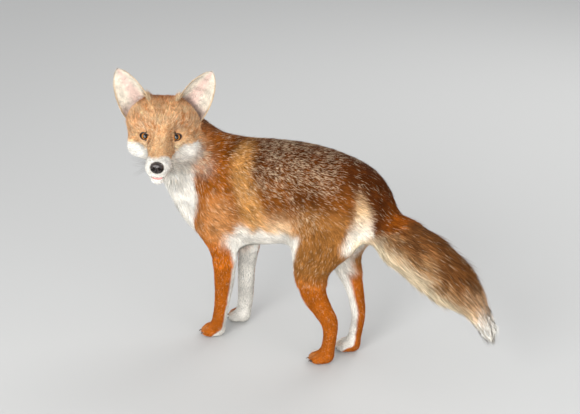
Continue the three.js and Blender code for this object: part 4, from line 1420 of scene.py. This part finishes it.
class Nodes:
    """Short ways to add and link nodes in a tree."""

    def __init__(self, tree):
        self.tree = tree

    def add(self, kind, **settings):
        node = self.tree.nodes.new(kind)
        for name, value in settings.items():
            setattr(node, name, value)
        return node

    def put(self, socket, value):
        if isinstance(value, bpy.types.NodeSocket):
            self.tree.links.new(value, socket)
        elif value is not None:
            socket.default_value = value

    def math(self, what, *values):
        node = self.add("ShaderNodeMath", operation=what)
        for socket, value in zip(node.inputs, values):
            self.put(socket, value)
        return node.outputs[0]

    def ramp(self, value, a, b, low=0.0, high=1.0):
        node = self.add("ShaderNodeMapRange", interpolation_type="SMOOTHSTEP")
        for socket, item in zip(node.inputs, (value, a, b, low, high)):
            self.put(socket, item)
        return node.outputs[0]

    def mix(self, share, a, b, blend="MIX"):
        node = self.add("ShaderNodeMix", data_type="RGBA", blend_type=blend)
        for socket, value in zip((node.inputs[0], node.inputs[6], node.inputs[7]), (share, a, b)):
            if isinstance(value, np.ndarray):
                value = (*value, 1)
            self.put(socket, value)
        return node.outputs[2]

    def dimmed(self, colour, light):
        """A colour times a value."""
        grey = self.add("ShaderNodeCombineColor")
        for socket in grey.inputs[:3]:
            self.put(socket, light)
        return self.mix(1.0, colour, grey.outputs[0], "MULTIPLY")

    def attribute(self, name, colour=False):
        node = self.add("ShaderNodeAttribute", attribute_name=name)
        return node.outputs["Color" if colour else "Fac"]

    def drift(self, **values):
        """The shared group of soft noise, with this material's own values."""
        node = self.add("ShaderNodeGroup", node_tree=DRIFT)
        for name, value in values.items():
            self.put(node.inputs[name], value)
        return node.outputs

    def bump(self, height, strength, distance):
        node = self.add("ShaderNodeBump")
        node.inputs["Strength"].default_value = strength
        node.inputs["Distance"].default_value = distance
        self.put(node.inputs["Height"], height)
        return node.outputs[0]


def drift_group():
    """Noise over the object's own space, plain and eased from one range to another."""
    tree = bpy.data.node_groups.new("drift", "ShaderNodeTree")
    for name, kind, value in (
        ("Scale", "Float", 1), ("Detail", "Float", 4), ("Stretch", "Vector", (1, 1, 1)),
        ("From", "Float", 0), ("To", "Float", 1), ("Lowest", "Float", 0), ("Highest", "Float", 1),
    ):
        socket = tree.interface.new_socket(
            name, in_out="INPUT", socket_type="NodeSocket" + kind)
        socket.default_value = value
    for name in ("Value", "Noise"):
        tree.interface.new_socket(name, in_out="OUTPUT", socket_type="NodeSocketFloat")
    n = Nodes(tree)
    given = n.add("NodeGroupInput").outputs
    mapping, noise = n.add("ShaderNodeMapping"), n.add("ShaderNodeTexNoise")
    n.put(mapping.inputs["Vector"], n.add("ShaderNodeTexCoord").outputs["Object"])
    n.put(mapping.inputs["Scale"], given["Stretch"])
    n.put(noise.inputs["Vector"], mapping.outputs[0])
    n.put(noise.inputs["Scale"], given["Scale"])
    n.put(noise.inputs["Detail"], given["Detail"])
    noise.inputs["Roughness"].default_value = 0.55
    plain = noise.outputs["Fac"]
    eased = n.ramp(plain, given["From"], given["To"], given["Lowest"], given["Highest"])
    end = n.add("NodeGroupOutput").inputs
    n.put(end["Value"], eased)
    n.put(end["Noise"], plain)
    return tree


DRIFT = drift_group()


def material(name, build, **settings):
    surface = bpy.data.materials.new(name)
    surface.use_nodes = True
    nodes = Nodes(surface.node_tree)
    shader = surface.node_tree.nodes["Principled BSDF"]
    for what, value in settings.items():
        nodes.put(shader.inputs[what.replace("_", " ")], value)
    for what, value in build(nodes).items():
        nodes.put(shader.inputs[what], value)
    return surface


PALE_HAIR = paint("ecd5b2")


def hair_finish(n):
    """Each lock: dark at the root (its own darker base, with painted shade), banded or tipped by
    chance, with a little drift over space.
    """
    along, chance = n.attribute("Along"), n.attribute("Chance")
    drift = n.drift(Scale=34, Detail=5, From=0.3, To=0.7, Lowest=0.8, Highest=1.18)["Value"]
    # Darker towards the root and a touch lighter at the tip: the hair's own darker base, with
    # painted shade deep in the coat.
    root = n.ramp(along, 0.0, 0.65, 0.34, 1.06)
    colour = n.dimmed(n.attribute("Marking", True), n.math("MULTIPLY", root, drift))
    banded = n.math("LESS_THAN", chance, n.attribute("Pale"))
    band = n.math("MULTIPLY", n.ramp(along, 0.5, 0.66), n.ramp(along, 0.97, 0.82, 0.15, 1.0))
    band = n.math("MULTIPLY", banded, band)
    colour = n.mix(n.math("MULTIPLY", band, 0.52), colour, PALE_HAIR)
    tipped = n.math("GREATER_THAN", chance, n.math("SUBTRACT", 1.0, n.attribute("Dark")))
    tipped = n.math("MULTIPLY", tipped, n.ramp(along, 0.45, 0.95))
    return {"Base Color": n.mix(n.math("MULTIPLY", tipped, 0.7), colour, UMBER * 0.5)}


def skin_finish(n):
    """The short under-fur and the bare skin, between and beneath the locks."""
    drift = n.drift(Scale=90, Detail=5, From=0.25, To=0.75, Lowest=0.4, Highest=0.85)["Value"]
    light = n.math("MAXIMUM", drift, n.attribute("Bare"))
    grain = n.drift(Scale=420, Detail=4)["Noise"]
    return {"Base Color": n.dimmed(n.attribute("Marking", True), light),
            "Normal": n.bump(grain, 0.5, 0.0008)}


def eye_finish(n):
    off, pupil, turned = n.attribute("Off"), n.attribute("Pupil"), n.attribute("Round")
    streak = n.drift(Scale=1, Detail=4, From=0.4, To=0.6)["Value"]
    rays = n.add("ShaderNodeTexNoise", noise_dimensions="2D")
    vector = n.add("ShaderNodeCombineXYZ")
    n.put(vector.inputs[0], n.math("MULTIPLY", turned, 0.35))
    n.put(vector.inputs[1], n.math("MULTIPLY", off, 0.03))
    n.put(rays.inputs["Vector"], vector.outputs[0])
    rays.inputs["Scale"].default_value = 1.4
    iris = n.mix(n.ramp(off, 22, 42), paint("d08a2e"), paint("8e4d12"))
    iris = n.mix(n.ramp(rays.outputs["Fac"], 0.35, 0.7), iris, paint("6b3a10"))
    iris = n.mix(n.ramp(off, 38, 43), iris, paint("1a0e08"))
    white = n.mix(streak, paint("2c1c15"), paint("1a110d"))
    colour = n.mix(n.ramp(off, 43.5, 46), iris, white)
    colour = n.mix(n.ramp(pupil, 27, 25), colour, paint("060505"))
    return {"Base Color": colour}


def leather_finish(n):
    grain = n.add("ShaderNodeTexVoronoi")
    n.put(grain.inputs["Vector"], n.add("ShaderNodeTexCoord").outputs["Object"])
    grain.inputs["Scale"].default_value = 900
    patches = n.drift(Scale=160, Detail=4, From=0.35, To=0.7)["Value"]
    colour = n.mix(patches, paint("1b1413"), paint("30241f"))
    # Painted shade: the nostrils and the split down the nose go near black.
    colour = n.mix(n.attribute("Pit"), colour, paint("050404"))
    rough = n.drift(Scale=240, Detail=2, From=0.3, To=0.7, Lowest=0.2, Highest=0.36)["Value"]
    return {"Base Color": colour, "Roughness": rough,
            "Normal": n.bump(grain.outputs["Distance"], 0.35, 0.0005)}


def horn_finish(n):
    streak = n.drift(Scale=300, Detail=3, Stretch=(1, 1, 0.2), From=0.35, To=0.65)["Value"]
    colour = n.mix(streak, paint("2a211c"), paint("5d4d40"))
    return {"Base Color": colour, "Normal": n.bump(streak, 0.3, 0.0002)}


def dress(piece, surface):
    piece.data.materials.clear()
    piece.data.materials.append(surface)


hair = material("coat", hair_finish, Roughness=0.55, Specular_IOR_Level=0.05)
under = material("skin", skin_finish, Roughness=0.8, Specular_IOR_Level=0.15)
SURFACES = {  # by material slot
    "eye": material("eye", eye_finish, Roughness=0.07, Specular_IOR_Level=0.38),
    "nose_leather": material("nose leather", leather_finish, Specular_IOR_Level=0.55),
    "horn": material("horn", horn_finish, Roughness=0.4),
}
dress(body, under)
for piece in coats:
    dress(piece, hair)
for piece, slot, _ in details:
    dress(piece, SURFACES[slot])

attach(body, "root")
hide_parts(*FLESH, *EARS)
